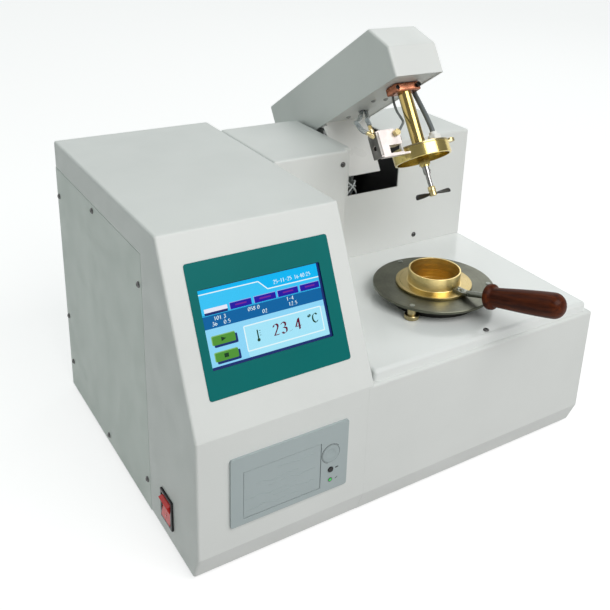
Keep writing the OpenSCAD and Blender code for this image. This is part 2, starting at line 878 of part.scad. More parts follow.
module power_inlet() {
  color([0.05, 0.05, 0.05])
    in_case()
      translate([inlet_x, case_d, inlet_z])
        union() {
          difference() {
            union() {
              span([-25, 0, -12], [25, 3, 12]);
              span([-13.6, -22, -9.9], [13.6, 0.1, 9.9]);
            }
            span([-12, -14, -8.2], [12, 5, 8.2]);
            for (x = [-19.8, 19.8])
              translate([x, 0, 0]) y_rod(-2, 5, 1.7, 28);
          }
          for (p = [[-7, 2], [7, 2], [0, -3]])
            translate([p[0], 0, p[1]]) span([-1, -14.2, -2], [1, -2, 2]);
        }
}

fan_y = case_d - sheet;
module fan_frame() {
  color([0.05, 0.05, 0.06])
    in_case()
      translate([fan_x, fan_y, fan_z])
        union() {
          difference() {
            span([-fan_size / 2, -20, -fan_size / 2], [fan_size / 2, 0, fan_size / 2]);
            y_rod(-21, 1, fan_bore_r, round_fn);
            for (x = [-25, 25], z = [-25, 25])
              translate([x, 0, z]) y_rod(-21, 1, 1.8, 28);
          }
          for (a = [45, 135])
            rotate([0, a, 0]) span([-fan_bore_r - 1, -20, -1.5], [fan_bore_r + 1, -17.5, 1.5]);
          y_rod(-20, -17.5, 11, small_fn);
          y_rod(-17.6, -8, 1.5, 28);
        }
}

module fan_rotor() {
  color([0.10, 0.10, 0.11])
    in_case()
      translate([fan_x, fan_y, fan_z])
        difference() {
          union() {
            y_rod(-16.5, -4.5, 12, small_fn);
            for (k = [0:6])
              rotate([0, 360 / 7 * k, 0])
                translate([10, -10.5, 0])
                  rotate([38, 0, 0])
                    span([0, -0.7, -5], [15.5, 0.7, 5]);
          }
          y_rod(-18, -7, 1.5 + fit, 28);
        }
}

// Stove

can_top = seat_z - plate_t;
module stove_ring() {
  color([0.72, 0.72, 0.72])
    in_case()
      at_cup()
        rotate_extrude($fn = round_fn)
          polygon([
            [can_r + 0.05, tray_z], [can_r + 3.6, tray_z], [can_r + 3.6, tray_z + 3.4],
            [can_r + 3, tray_z + 4], [can_r + 0.05, tray_z + 4]
          ]);
}

can_floor = 96;
bath_r = 36;
module stove_can() {
  color([0.06, 0.06, 0.06])
    in_case()
      at_cup()
        union() {
          difference() {
            z_rod(can_floor, can_top, can_r, round_fn);
            z_rod(can_floor + 2, can_top + 1, can_r - 2, round_fn);
            z_rod(can_floor - 1, can_floor + 3, 8);
          }
          // three posts down to the floor sheet
          for (a = [30, 150, 270])
            rotate(a) translate([34, 0, 0]) z_rod(sheet, can_floor + tiny, 4, 28);
          // seat ring of the air bath
          difference() {
            z_rod(can_floor + 2, can_floor + 14, bath_r - 4, round_fn);
            z_rod(can_floor, can_floor + 15, bath_r - 8, round_fn);
          }
        }
}

bath_bore_r = cup_r + 2.2;
module air_bath() {
  color([0.22, 0.22, 0.23])
    in_case()
      at_cup()
        difference() {
          z_rod(can_floor + 14, can_top, bath_r, round_fn);
          z_rod(can_floor + 19, can_top + 1, bath_bore_r, round_fn);
        }
}

module heater_band() {
  color([0.55, 0.50, 0.42])
    in_case()
      at_cup()
        difference() {
          z_rod(can_floor + 20, can_top - 12, bath_r + 5, round_fn);
          z_rod(can_floor + 19, can_top - 11, bath_r + 0.02, round_fn);
        }
}

plate_angles = [90, -30, 210];
module stove_plate() {
  color([0.33, 0.34, 0.32])
    in_case()
      at_cup()
        difference() {
          rotate_extrude($fn = round_fn)
            polygon([
              [bath_bore_r - 0.8, can_top], [plate_r - 0.5, can_top], [plate_r, can_top + 0.5],
              [plate_r, seat_z - 0.5], [plate_r - 0.5, seat_z], [bath_bore_r - 0.8, seat_z]
            ]);
          for (a = plate_angles)
            rotate(a) translate([plate_pcd_r, 0, 0]) z_rod(can_top - 1, seat_z + 1, stem_r + 0.05, 28);
        }
}

stem_r = 2;
nut_r = 7.4;
nut_z = tray_z + gap;
nut_h = 4.4;
nut_neck_r = 4.6;
module plate_screws() {
  color([0.60, 0.60, 0.58])
    in_case()
      at_cup()
        for (a = plate_angles)
          rotate(a)
            translate([plate_pcd_r, 0, 0])
              difference() {
                union() {
                  z_rod(tray_z + 0.3, seat_z + tiny, stem_r, 28);
                  z_rod(seat_z, seat_z + 0.5, 2.6, 28);
                }
                translate([-3, -0.35, seat_z + 0.15]) cube([6, 0.7, 1]);
              }
}

knurls = 24;
module plate_nut(a) {
  color([0.76, 0.60, 0.28])
    in_case()
      at_cup()
        rotate(a)
          translate([plate_pcd_r, 0, 0])
            difference() {
              rotate_extrude($fn = small_fn)
                polygon([
                  [0, nut_z], [nut_r - 0.5, nut_z], [nut_r, nut_z + 0.5], [nut_r, nut_z + nut_h - 0.5],
                  [nut_r - 0.5, nut_z + nut_h], [nut_neck_r, nut_z + nut_h], [nut_neck_r, can_top - gap],
                  [0, can_top - gap]
                ]);
              z_rod(nut_z - 1, can_top + 1, stem_r + fit, 28);
              for (k = [0:knurls - 1])
                rotate(360 / knurls * k)
                  translate([nut_r + 0.25, 0, 0]) z_rod(nut_z - 1, nut_z + nut_h - 0.6, 0.6, 13);
            }
}

module plate_nut_front() { plate_nut(plate_angles[2]); }
module plate_nut_right() { plate_nut(plate_angles[1]); }
module plate_nut_back() { plate_nut(plate_angles[0]); }

// Cup and handle

module test_cup() {
  color([0.80, 0.64, 0.30])
    in_case()
      at_cup()
        rotate_extrude($fn = round_fn)
          polygon([
            [0, rim_z - cup_depth - 2], [cup_r - 2, rim_z - cup_depth - 2], [cup_r, rim_z - cup_depth],
            [cup_r, seat_z], [flange_r - 0.4, seat_z], [flange_r, seat_z + 0.4],
            [flange_r, seat_z + flange_t - 0.4], [flange_r - 0.4, seat_z + flange_t],
            [cup_r + 0.8, seat_z + flange_t], [cup_r, seat_z + flange_t + 0.8],
            [cup_r, rim_z - 0.3], [cup_r - 0.3, rim_z], [cup_bore_r + 0.2, rim_z], [cup_bore_r, rim_z - 0.3],
            [cup_bore_r, rim_z - 21.8], [cup_bore_r + 0.3, rim_z - 22], [cup_bore_r, rim_z - 22.2],
            [cup_bore_r, rim_z - cup_depth + 2], [cup_bore_r - 2, rim_z - cup_depth], [0, rim_z - cup_depth]
          ]);
}

// Handle frame: X away from the cup along the handle, Z up
shank_t = 3;
shank_w = 9;
shank_from = cup_r + 1;
bend_at = flange_r + 1;
rod_z = seat_z + flange_t + shank_t / 2;
module on_handle() {
  in_case() at_cup() rotate(handle_turn - 90) children();
}

module along_grip() {
  on_handle()
    translate([bend_at, 0, rod_z]) rotate([0, -handle_rise, 0]) translate([-bend_at, 0, 0]) children();
}

grip_start = bend_at + (grip_from - bend_at) / cos(handle_rise);
module cup_shank() {
  color([0.74, 0.75, 0.76]) {
    on_handle()
      difference() {
        union() {
          span(
            [shank_from, -shank_w / 2, seat_z + flange_t], [bend_at, shank_w / 2, seat_z + flange_t + shank_t]
          );
          for (x = [shank_from + 3.5, bend_at - 4])
            translate([x, 0, seat_z + flange_t + shank_t - tiny])
              rotate_extrude($fn = 28) polygon([[0, 0], [2.3, 0], [2.3, 0.5], [1.7, 1.3], [0.8, 1.7], [0, 1.8]]);
        }
        for (x = [shank_from + 3.5, bend_at - 4])
          translate([x - 2.5, -0.3, seat_z + flange_t + shank_t + 1]) cube([5, 0.6, 2]);
      }
    along_grip()
      union() {
        span([bend_at - 0.6, -shank_w / 2, -shank_t / 2], [bend_at + 6, shank_w / 2, shank_t / 2]);
        x_rod(bend_at + 3, grip_start + 30, 3.1, small_fn);
      }
  }
}

module cup_grip() {
  color([0.32, 0.07, 0.04])
    along_grip()
      translate([grip_start, 0, 0])
        rotate([0, 90, 0])
          rotate_extrude($fn = 64)
            polygon(concat(
              [[3.15, 0], [collar_r - 1.6, 0], [collar_r - 0.4, 0.7], [collar_r, 2.2], [collar_r, 3.8],
               [collar_r - 0.6, 5.4], [collar_r - 2.2, 6.4], [grip_neck_r + 1, 7.4], [grip_neck_r, 9.5]],
              [for (k = [1:6]) let (s = k / 6)
                [grip_neck_r + (grip_r - grip_neck_r) * pow(s, 0.85), 9.5 + (grip_len - grip_r * 0.9 - 9.5) * s]],
              [for (a = [15:15:75])
                [grip_r * cos(a), grip_len - grip_r * 0.9 + grip_r * 0.9 * sin(a)]],
              [[0, grip_len], [0, 30.2], [3.15, 30.2]]
            ));
}

// Arm, drawn lowered

arm_profile = [
  [arm_y, under_z], [arm_y + arm_len, under_z], [arm_y + arm_len, under_z + arm_h],
  [arm_y + arm_nose_l, under_z + arm_h], [arm_y, under_z + arm_nose_h]
];
arm_hollow = inset([
  [arm_y, under_z - 20], [arm_y + arm_len, under_z - 20], [arm_y + arm_len, under_z + arm_h],
  [arm_y + arm_nose_l, under_z + arm_h], [arm_y, under_z + arm_nose_h]
], sheet);
arm_low = concat([[arm_y, under_z - 8], [arm_y + arm_len, under_z - 8]], [for (k = [2:4]) arm_profile[k]]);

module arm_housing() {
  color([0.90, 0.92, 0.91])
    on_arm()
      difference() {
        soft_prism(arm_low, arm_x, arm_x + arm_w, edge_r);
        span([0, arm_y - 5, under_z - 30], [case_w, arm_y + arm_len + 5, under_z]);
        side_prism(arm_hollow, arm_x + sheet, arm_x + arm_w - sheet);
      }
}

base_z = under_z + 1;
base_t = 2;
base_screws = [for (x = [arm_x + 24, arm_x + 40], y = [arm_y + 81, arm_y + 136]) [x, y]];
// holes for the electrode's wire, the sensor's cable and the two hoses
lead_holes = [[307.5, 111.5, 2.6], [330.7, 106.3, 3.6], [310, 179, 4.2], [316.6, 181, 4.2]];
module arm_base() {
  color([0.88, 0.90, 0.89])
    on_arm()
      difference() {
        span(
          [arm_x + sheet + 0.1, arm_y + sheet + 0.1, base_z],
          [arm_x + arm_w - sheet - 0.1, arm_y + arm_len - sheet - 0.1, base_z + base_t]
        );
        at_cup() z_rod(base_z - 1, base_z + base_t + 1, stir_r + 0.5);
        for (s = base_screws)
          translate([s[0], s[1], 0]) z_rod(base_z - 1, base_z + 5, screw_shank_r + 0.02, 20);
        for (h = lead_holes)
          translate([h[0], h[1], 0]) z_rod(base_z - 1, base_z + 5, h[2], 24);
      }
}

module arm_screws() {
  color([0.20, 0.20, 0.21])
    on_arm() {
      for (s = base_screws)
        translate([s[0], s[1], base_z]) rotate([180, 0, 0]) pan_screw(base_t);
      // socket screw that closes the clamp on the column
      at_cup()
        translate([clamp_w / 2 - 4.5, clamp_front, base_z - clamp_h / 2])
          difference() {
            y_rod(-2.6, 0, 2.6, 28);
            y_rod(-3, -1.4, 1.3, 6);
          }
    }
}

cheek_t = 2.5;
cheek_x = [cup_x - 25, cup_x + 25 - cheek_t];
boss_r = 12;
cheek_back = 18;
cheek_reach = 74;
cheek_profile = [
  [pivot_y - 0.83 * boss_r, pivot_z - 0.58 * boss_r], [pivot_y + 0.75 * boss_r, pivot_z - 0.66 * boss_r],
  [pivot_y + boss_r, pivot_z], [pivot_y - cheek_back, base_z],
  [pivot_y - cheek_reach, base_z], [pivot_y - cheek_reach, base_z - 16]
];
module arm_cheeks() {
  color([0.82, 0.84, 0.84])
    on_arm()
      difference() {
        union() {
          for (x = cheek_x)
            side_prism(cheek_profile, x, x + cheek_t);
          translate([0, pivot_y, pivot_z]) x_rod(cheek_x[0], cheek_x[1] + cheek_t, boss_r, round_fn);
          span(
            [cheek_x[0], pivot_y - cheek_reach + 4, base_z - 3],
            [cheek_x[1] + cheek_t, pivot_y - cheek_back - 4, base_z]
          );
        }
        translate([0, pivot_y, pivot_z]) x_rod(cheek_x[0] - 1, cheek_x[1] + 5, shaft_r + 0.02, round_fn);
      }
}

// Shield in front of the slot: it hangs outside the tower when the arm is down.
// Its outline is drawn in its own sloping plane, X across and Y up
shield_foot = [194.5, 190];
shield_head = [210.8, base_z];
shield_run = norm(shield_head - shield_foot);
shield_deg = atan2(shield_head[1] - shield_foot[1], shield_head[0] - shield_foot[0]);
module arm_shield() {
  color([0.92, 0.93, 0.93])
    on_arm()
      union() {
        translate([0, shield_foot[0], shield_foot[1]])
          rotate([shield_deg, 0, 0])
            translate([0, 0, -sheet])
              linear_extrude(sheet)
                polygon([
                  [slot_x + 1.2, 0], [arm_x + 44.5, 0], [arm_x + arm_w - 3, shield_run - 4],
                  [arm_x + arm_w - 3, shield_run - 0.4], [arm_x + 2, shield_run - 0.4],
                  [arm_x + 2, shield_run - 4], [slot_x + 1.2, shield_run - 4]
                ]);
        span(
          [arm_x + 2, shield_head[0] - 0.4, base_z - sheet],
          [arm_x + arm_w - 3, shield_head[0] + 14, base_z]
        );
      }
}

module pivot_shaft() {
  color([0.70, 0.71, 0.73])
    on_arm()
      translate([0, pivot_y, pivot_z])
        x_rod(well_x[0] - 4, motor_x + 15, shaft_r, round_fn);
}

module stirrer_motor() {
  color([0.35, 0.36, 0.38])
    on_arm()
      at_cup()
        difference() {
          union() {
            z_rod(base_z + base_t, base_z + base_t + 14, 14, round_fn);
            z_rod(base_z + base_t + 14 - tiny, base_z + base_t + 38, 11.5, round_fn);
          }
          z_rod(base_z, base_z + base_t + 10, stir_r + fit, small_fn);
        }
}

// Head

clamp_w = 32;
clamp_d = 20;
clamp_h = 9.4;
clamp_front = -clamp_d / 2;
module column_clamp() {
  color([0.58, 0.30, 0.20])
    on_arm()
      at_cup()
        difference() {
          span([-clamp_w / 2, clamp_front, base_z - clamp_h], [clamp_w / 2, clamp_front + clamp_d, base_z]);
          z_rod(base_z - clamp_h - 1, base_z + 1, column_r + 0.02, round_fn);
          span([0, -0.6, base_z - clamp_h - 1], [clamp_w / 2 + 1, 0.6, base_z + 1]);
        }
}

module column_tube() {
  color([0.80, 0.64, 0.30])
    on_arm()
      at_cup()
        difference() {
          z_rod(deck_z, base_z, column_r, round_fn);
          z_rod(deck_z - 1, base_z + 1, column_r - 2, round_fn);
        }
}

boss_z = lid_z - 6;      // lower end of the hexagon boss
hex_r = 6.2;
collar_z = [lid_z - 15.5, lid_z - 7.9];
port_r = 4.2;
port_at = 17.5;
module lid() {
  color([0.78, 0.62, 0.28])
    on_arm()
      at_cup()
        difference() {
          union() {
            rotate_extrude($fn = round_fn)
              polygon([
                [0, lid_z + lid_recess], [cup_r + 0.5, lid_z + lid_recess], [cup_r + 0.5, lid_z],
                [lid_r - 0.4, lid_z], [lid_r, lid_z + 0.4], [lid_r, deck_z - 0.5], [lid_r - 0.5, deck_z],
                [0, deck_z]
              ]);
            // hexagon boss of the shaft bush, under the deck
            z_rod(boss_z, lid_z + lid_recess + tiny, hex_r, 6);
            z_rod(boss_z - 1.6, boss_z + tiny, hex_r - 1.6, small_fn);
          }
          z_rod(lid_z - 20, deck_z + 1, stir_r + fit, small_fn);
          // vapour ports that the shutter opens
          for (a = [90, 180])
            rotate(a) translate([port_at, 0, 0]) z_rod(lid_z, deck_z + 1, port_r, small_fn);
        }
}

// Shutter on the deck, turned about the column
fitting_at = [15, -8];
fitting_deg = atan2(fitting_at[1], fitting_at[0]);
fitting_rad = norm(fitting_at);
plate_low = deck_z + 0.1;
plate_high = deck_z + 1.7;
stem_room = asin((4.2 + 1) / fitting_rad);
tab_deg = -10;
tab_at = 35.5;
tab_r = 4.8;
module shutter_plate() {
  color([0.82, 0.67, 0.33])
    on_arm()
      at_cup()
        difference() {
          union() {
            z_rod(plate_low, plate_high, lid_r - 0.3, round_fn);
            rotate(tab_deg) span([22, -tab_r, plate_low], [tab_at, tab_r, plate_high]);
            rotate(tab_deg) translate([tab_at, 0, 0]) z_rod(plate_low, plate_high + 0.8, tab_r, small_fn);
          }
          z_rod(plate_low - 1, plate_high + 1, column_r + gap, round_fn);
          // ports: clear of the lid's ports at rest
          for (a = [90 - shutter_turn, 180 - shutter_turn])
            rotate(a) translate([port_at, 0, 0]) z_rod(plate_low - 1, plate_high + 1, port_r, small_fn);
          // curved slot round the fitting
          rotate(fitting_deg - shutter_turn - stem_room)
            rotate_extrude(angle = shutter_turn + 2 * stem_room, $fn = round_fn)
              translate([fitting_rad - 5, plate_low - 1]) square([10, 4]);
        }
}

// Ignition block on the left of the lid
block_x = [252, 277];
block_y = [cup_y - 16.3, cup_y - 1.8];
block_z = [lid_z + 8, lid_z + 33];
side_t = 3;
knob_at = [block_x[1] - 5, block_z[1] - 5];
module ignition_block() {
  color([0.86, 0.84, 0.83])
    on_arm() {
      difference() {
        union() {
          side_cut_block();
          // foot bar that holds the block to the lid's side
          span([block_x[0], block_y[0], block_z[0] - 2], [cup_x - 24, block_y[0] + 7, block_z[0] + tiny]);
        }
        at_cup() z_rod(lid_z - 5, deck_z + 5, lid_r, round_fn);
        // window at the lower right, where the flame jet swings
        span(
          [block_x[0] + 9, block_y[0] - 1, block_z[0] + 1], [block_x[1] + 1, block_y[1] + 1, block_z[0] + 9]
        );
        translate([knob_at[0], block_y[0], knob_at[1]]) y_rod(-1, 6, 1.5 + fit, 28);
      }
      // side plate with its screw
      difference() {
        span(
          [block_x[0] - side_t, block_y[0] - 0.5, block_z[0] - 1], [block_x[0], block_y[1], block_z[1] - 1]
        );
        translate([0, (block_y[0] + block_y[1]) / 2, block_z[0] + 9]) x_rod(block_x[0] - 5, block_x[0] + 1, 2.6, 28);
      }
      // barbed brass fittings for the two hoses
      translate(hose_front[0]) rotate([0, -hose_lean, 0]) hose_barb();
      translate(hose_back[0]) hose_barb();
    }
}

// Barbed hose fitting, its mouth at the origin and pointing up
module hose_barb() {
  rotate_extrude($fn = 28)
    polygon([
      [0, -9], [2.6, -9], [2.6, -5], [1.6, -5], [1.6, -4], [2.1, -3.6], [1.5, -2], [2.1, -1.6],
      [1.5, 0], [0, 0]
    ]);
}

module side_cut_block() {
  difference() {
    span([block_x[0], block_y[0], block_z[0]], [block_x[1], block_y[1], block_z[1]]);
    translate([block_x[1] - 7, block_y[0] - 1, block_z[1]]) rotate([0, 35, 0]) cube([14, 30, 12]);
  }
}

module valve_knob() {
  color([0.80, 0.64, 0.30])
    on_arm()
      translate([knob_at[0], block_y[0], knob_at[1]])
        union() {
          y_rod(-5, -0.4, 3.2, small_fn);
          y_rod(-0.5, 5, 1.5, 28);
        }
}

// Soft tube through hand-set points: a smooth curve and a ring of sides at each step
function bezier_mid(a, b, c, d, s) =
  0.5 * ((2 * b) + (c - a) * s + (2 * a - 5 * b + 4 * c - d) * s * s + (3 * b - a - 3 * c + d) * s * s * s);
function smooth(p, n) = concat(
  [for (i = [0:len(p) - 2], k = [0:n - 1])
    bezier_mid(p[max(i - 1, 0)], p[i], p[i + 1], p[min(i + 2, len(p) - 1)], k / n)],
  [p[len(p) - 1]]
);
function tangent(p, i) = unit(p[min(i + 1, len(p) - 1)] - p[max(i - 1, 0)]);
function side_of(t, u) = unit(u - (u * t) * t);
function frames(p, i = 0, u = [1, 0.2, 0.1], out = []) =
  i == len(p) ? out : let (v = side_of(tangent(p, i), u)) frames(p, i + 1, v, concat(out, [v]));
module tube_along(route, r, sides = 8, n = 3) {
  p = smooth(route, n);
  f = frames(p);
  m = len(p);
  ring = [
    for (i = [0:m - 1], k = [0:sides - 1])
      p[i] + r * (cos(360 * k / sides) * f[i] + sin(360 * k / sides) * cross(tangent(p, i), f[i]))
  ];
  polyhedron(
    ring,
    concat(
      [[for (k = [0:sides - 1]) k]],
      [for (i = [0:m - 2], k = [0:sides - 1])
        [i * sides + k, (i + 1) * sides + k, (i + 1) * sides + (k + 1) % sides, i * sides + (k + 1) % sides]],
      [[for (k = [0:sides - 1]) m * sides - 1 - k]]
    ),
    convexity = 6
  );
}

hose_r = 2;
hose_lean = 55;     // lean of the front hose fitting to the left
hose_front = [
  [242, 82, 210], [238, 82.5, 213], [238, 87, 220], [247, 102, 226], [266, 126, 233], [289, 153, 244],
  [305, 174, 252], [309, 178, 257]
];
hose_back = [
  [252, 88, 218], [252, 88.5, 221], [257, 97, 226], [272, 117, 231], [291, 143, 239], [310, 171, 250],
  [316, 180, 257]
];
module gas_hoses() {
  color([0.72, 0.75, 0.74, 0.6])
    on_arm() {
      tube_along(hose_front, hose_r);
      tube_along(hose_back, hose_r);
    }
}

module sensor_fitting() {
  color([0.93, 0.93, 0.91])
    on_arm()
      at_cup()
        translate([fitting_at[0], fitting_at[1], 0])
          union() {
            z_rod(deck_z, plate_high + 0.5, 4.2, small_fn);
            rotate_extrude($fn = small_fn)
              polygon([
                [0, plate_high + 0.3], [6.8, plate_high + 0.3], [7, plate_high + 1], [7, plate_high + 7.5],
                [6, plate_high + 9], [4.2, plate_high + 9.6], [4.2, plate_high + 11], [0, plate_high + 11]
              ]);
          }
}

cable_r = 2.6;
cable_route = [
  [324, 86, deck_z + 12.7], [324, 86.3, deck_z + 17.5], [324, 89, 219], [325, 95, 236], [327.5, 101, 246], [330, 105, 252],
  [330.5, 106, 257]
];
module sensor_cable() {
  color([0.36, 0.38, 0.40])
    on_arm() tube_along(cable_route, cable_r);
}

// Spark electrode between the block and the lid, and its wire behind the column
wire_r = 1.6;
ceramic_r = 1.3;
wire_route = [
  [279.4, 83.9, 203], [280.6, 85, 208], [288, 90, 214], [298, 98, 222], [303, 106, 236], [307, 110, 250],
  [307.5, 111, 257]
];
module spark_electrode() {
  color([0.80, 0.80, 0.78])
    on_arm() {
      tube_along(wire_route, wire_r);
      translate([wire_route[0][0], wire_route[0][1], 0])
        union() {
          z_rod(block_z[0], plate_high + 1.1, ceramic_r, 28);
          z_rod(plate_high + 1, wire_route[0][2], 2.2, 28);
        }
    }
}

tip_z = rim_z - stir_depth;
module stirrer_shaft() {
  color([0.70, 0.70, 0.70])
    on_arm()
      at_cup()
        union() {
          z_rod(tip_z, base_z + base_t + 9, stir_r, small_fn);
          // collar with its set screw, under the lid
          z_rod(collar_z[0], collar_z[1], 3.6, small_fn);
          translate([0, 0, collar_z[0] + 3.8]) rotate(25) x_rod(3, 6.5, 1.3, 20);
        }
}

blade_t = 1.2;
blade_w = 7;
blade_deg = -22;    // rest direction of the blades
module stirrer_blades() {
  color([0.25, 0.26, 0.27])
    on_arm()
      at_cup()
        difference() {
          union() {
            z_rod(tip_z - 0.5, tip_z + 9, 3.9, small_fn);
            translate([0, 0, tip_z + 6]) rotate(25) x_rod(3, 6.5, 1.3, 20);
            for (a = [0, 180])
              rotate(a + blade_deg)
                translate([3, 0, tip_z + 1.5])
                  rotate([38, 0, 0])
                    span([0, -blade_w / 2, -blade_t / 2], [blade_tip_r - 3, blade_w / 2, blade_t / 2]);
          }
          z_rod(tip_z, tip_z + 20, stir_r + 0.02, small_fn);
        }
}

case_shell();
side_cover();
base_plate();
rubber_feet();
rear_panels();
bench_tray();
tower_left_box();
tower_housing();
case_screws();
arm_well();
pivot_bushes();
lift_gearmotor();
screen_mask();
display_frame();
display_panel();
control_board();
power_supply();
printer_frame();
printer_door();
platen_roller();
paper_roll();
door_button();
feed_button();
printer_lamp();
rocker_bezel();
rocker();
power_inlet();
fan_frame();
fan_rotor();
stove_ring();
stove_can();
air_bath();
heater_band();
stove_plate();
plate_screws();
plate_nut_front();
plate_nut_right();
plate_nut_back();
test_cup();
cup_shank();
cup_grip();
arm_housing();
arm_base();
arm_screws();
arm_cheeks();
arm_shield();
pivot_shaft();
stirrer_motor();
column_clamp();
column_tube();
lid();
shutter_plate();
ignition_block();
valve_knob();
gas_hoses();
sensor_fitting();
sensor_cable();
spark_electrode();
stirrer_shaft();
stirrer_blades();
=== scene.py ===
# %% [markdown]
# A closed cup flash point tester stands on a bench: a white sheet steel cabinet with a sloping
# screen on the left, a stove with a brass cup on the right, and an arm that lowers a stirred lid
# onto the cup. The construction comes in as a fixed frame of named nodes. This lesson dresses it:
# finishes for every node, and finer surfaces for the pieces whose form the light shows most.

# %% Frame and tools
import json
import math

import bmesh
import bpy
import numpy as np
from mathutils import Matrix, Vector


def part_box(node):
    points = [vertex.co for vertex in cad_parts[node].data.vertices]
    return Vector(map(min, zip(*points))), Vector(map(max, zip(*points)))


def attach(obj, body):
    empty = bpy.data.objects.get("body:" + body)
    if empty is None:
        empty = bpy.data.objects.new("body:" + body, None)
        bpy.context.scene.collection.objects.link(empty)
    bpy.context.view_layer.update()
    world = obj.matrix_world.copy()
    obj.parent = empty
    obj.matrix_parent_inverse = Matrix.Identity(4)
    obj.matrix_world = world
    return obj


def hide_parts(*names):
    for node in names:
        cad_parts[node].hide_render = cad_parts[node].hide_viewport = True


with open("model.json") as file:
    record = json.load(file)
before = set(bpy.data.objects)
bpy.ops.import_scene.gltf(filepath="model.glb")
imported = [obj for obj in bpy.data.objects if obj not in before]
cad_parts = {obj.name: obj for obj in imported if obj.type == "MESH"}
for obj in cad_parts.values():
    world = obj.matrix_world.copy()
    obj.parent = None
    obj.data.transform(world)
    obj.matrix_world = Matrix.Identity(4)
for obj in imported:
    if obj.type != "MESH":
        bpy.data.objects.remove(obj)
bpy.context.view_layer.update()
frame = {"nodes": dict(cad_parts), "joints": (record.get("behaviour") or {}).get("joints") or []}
nodes = frame["nodes"]
joints = {joint["name"]: joint for joint in frame["joints"]}

# %% [markdown]
# All places below are given in millimetres from one corner of the cabinet: its left side, its
# front plane and the lower edge of its sheets. That is how a workshop would measure it. One
# function turns such a place into the frame, and a second one also lifts it with the arm, because
# the pieces of the arm are measured with the arm lowered on the cup and the photo shows it raised.

# %% Places on the cabinet and on the arm
MM = 0.001
case_corner = np.array(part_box("case_shell")[0])
pivot = np.array(joints["arm_lift"]["pos_m"])
lift = -math.radians(joints["arm_lift"]["range_deg"][0])


def on_case(points):
    """Millimetres from the cabinet's corner become metres in the frame."""
    return case_corner + np.asarray(points, float) * MM


def box_mm(name):
    """Low corner, high corner and middle of a node, in millimetres from the cabinet's corner."""
    low, high = ((np.array(corner) - case_corner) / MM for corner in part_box(name))
    return low, high, (low + high) / 2


def axes(points):
    """The x, the y and the z of all points."""
    return np.moveaxis(np.asarray(points, float), -1, 0)


def xyz(x, y, z):
    """Points from their coordinates, which are spread to one shape first."""
    return np.stack(np.broadcast_arrays(x, y, z), axis=-1)


def spin(a, b, angle):
    """Two coordinates after a turn by the angle, from the direction of a towards that of b."""
    c, s = np.cos(angle), np.sin(angle)
    return a * c - b * s, a * s + b * c


def on_arm(points):
    """A place measured on the lowered arm, in millimetres, on the raised arm in metres: it turns
    about the pivot, whose line runs along X."""
    x, y, z = axes(on_case(points) - pivot)
    return pivot + xyz(x, *spin(y, z, -lift))


cup_low, cup_high, cup_middle = box_mm("test_cup")
cup_centre = on_case(cup_middle)
cup_x, cup_y = cup_middle[:2]
rim_z = cup_high[2]
print(f"arm lifted by {math.degrees(lift):.0f} degrees; cup at {cup_x:.1f}, {cup_y:.1f}; rim at {rim_z:.1f}")

# %% [markdown]
# The camera is the one that took the photo. Straight edges of the cabinet were matched to their
# lines in the picture, which gives the focal length in pixels, the point where the lens axis
# meets the picture, the direction of view and the place. The shift of the lens only moves the
# frame, so that the axis meets the picture where it did in the photo.

# %% Camera
PICTURE = 610            # pixels, width and height of the photo
FOCAL = 850.29           # focal length in pixels
AXIS_PIXEL = (347.62, 200.0)
AZIMUTH, ELEVATION, ROLL = (math.radians(a) for a in (-34.44, 21.27, 2.84))
CAMERA_PLACE = (-217.07, -507.88, 562.48)
SENSOR = 36.0


def view_axes(azimuth, elevation, roll):
    """Right, up and back of a camera: it looks along the direction given by the two angles, and
    its right and up are turned about that direction by the roll."""
    ahead = Vector((
        -math.sin(azimuth) * math.cos(elevation),
        math.cos(azimuth) * math.cos(elevation),
        -math.sin(elevation),
    ))
    level = ahead.cross(Vector((0, 0, 1))).normalized()
    upright = level.cross(ahead)
    right = math.cos(roll) * level + math.sin(roll) * upright
    up = -math.sin(roll) * level + math.cos(roll) * upright
    return right, up, -ahead


def make_camera():
    """The lens from the focal length, its shift from the axis pixel, and its place on the cabinet."""
    lens = bpy.data.cameras.new("photo_camera")
    lens.sensor_width = SENSOR
    lens.lens = SENSOR * FOCAL / PICTURE
    lens.shift_x = (PICTURE / 2 - AXIS_PIXEL[0]) / PICTURE
    lens.shift_y = (AXIS_PIXEL[1] - PICTURE / 2) / PICTURE
    lens.clip_start = 0.01
    holder = bpy.data.objects.new("photo_camera", lens)
    bpy.context.scene.collection.objects.link(holder)
    place = Matrix(view_axes(AZIMUTH, ELEVATION, ROLL)).transposed().to_4x4()
    place.translation = on_case(CAMERA_PLACE)
    holder.matrix_world = place
    bpy.context.scene.camera = holder
    return holder


camera = make_camera()
print("camera", [round(v, 3) for v in camera.location], "lens", round(camera.data.lens, 2))

# %% [markdown]
# A finish is a small network of nodes. Each one starts from the Principled shader and takes its
# pattern from Object coordinates. Every object sits at the origin of the frame, so those
# coordinates are metres on the real thing: a grain of half a millimetre is noise with a scale of
# two thousand. The helpers below add a cloudy drift of the colour, a fine bump, and rings for
# pieces that were turned on a lathe.

# %% Building blocks of the finishes
finishes = {}


def new_finish(name):
    """A material, kept under its name, as its tree of nodes and its shader."""
    finishes[name] = bpy.data.materials.new(name)
    finishes[name].use_nodes = True
    tree = finishes[name].node_tree
    return tree, tree.nodes["Principled BSDF"]


def feed(tree, socket, value):
    """An input takes a number or a colour, or a link from the output of another node."""
    if isinstance(value, bpy.types.NodeSocket):
        tree.links.new(value, socket)
    else:
        socket.default_value = value


def dial(tree, node, **settings):
    """Each setting names an input by its label, or an attribute of the node."""
    for key, value in settings.items():
        label = key.replace("_", " ")
        if label in node.inputs:
            feed(tree, node.inputs[label], value)
        else:
            setattr(node, key, value)


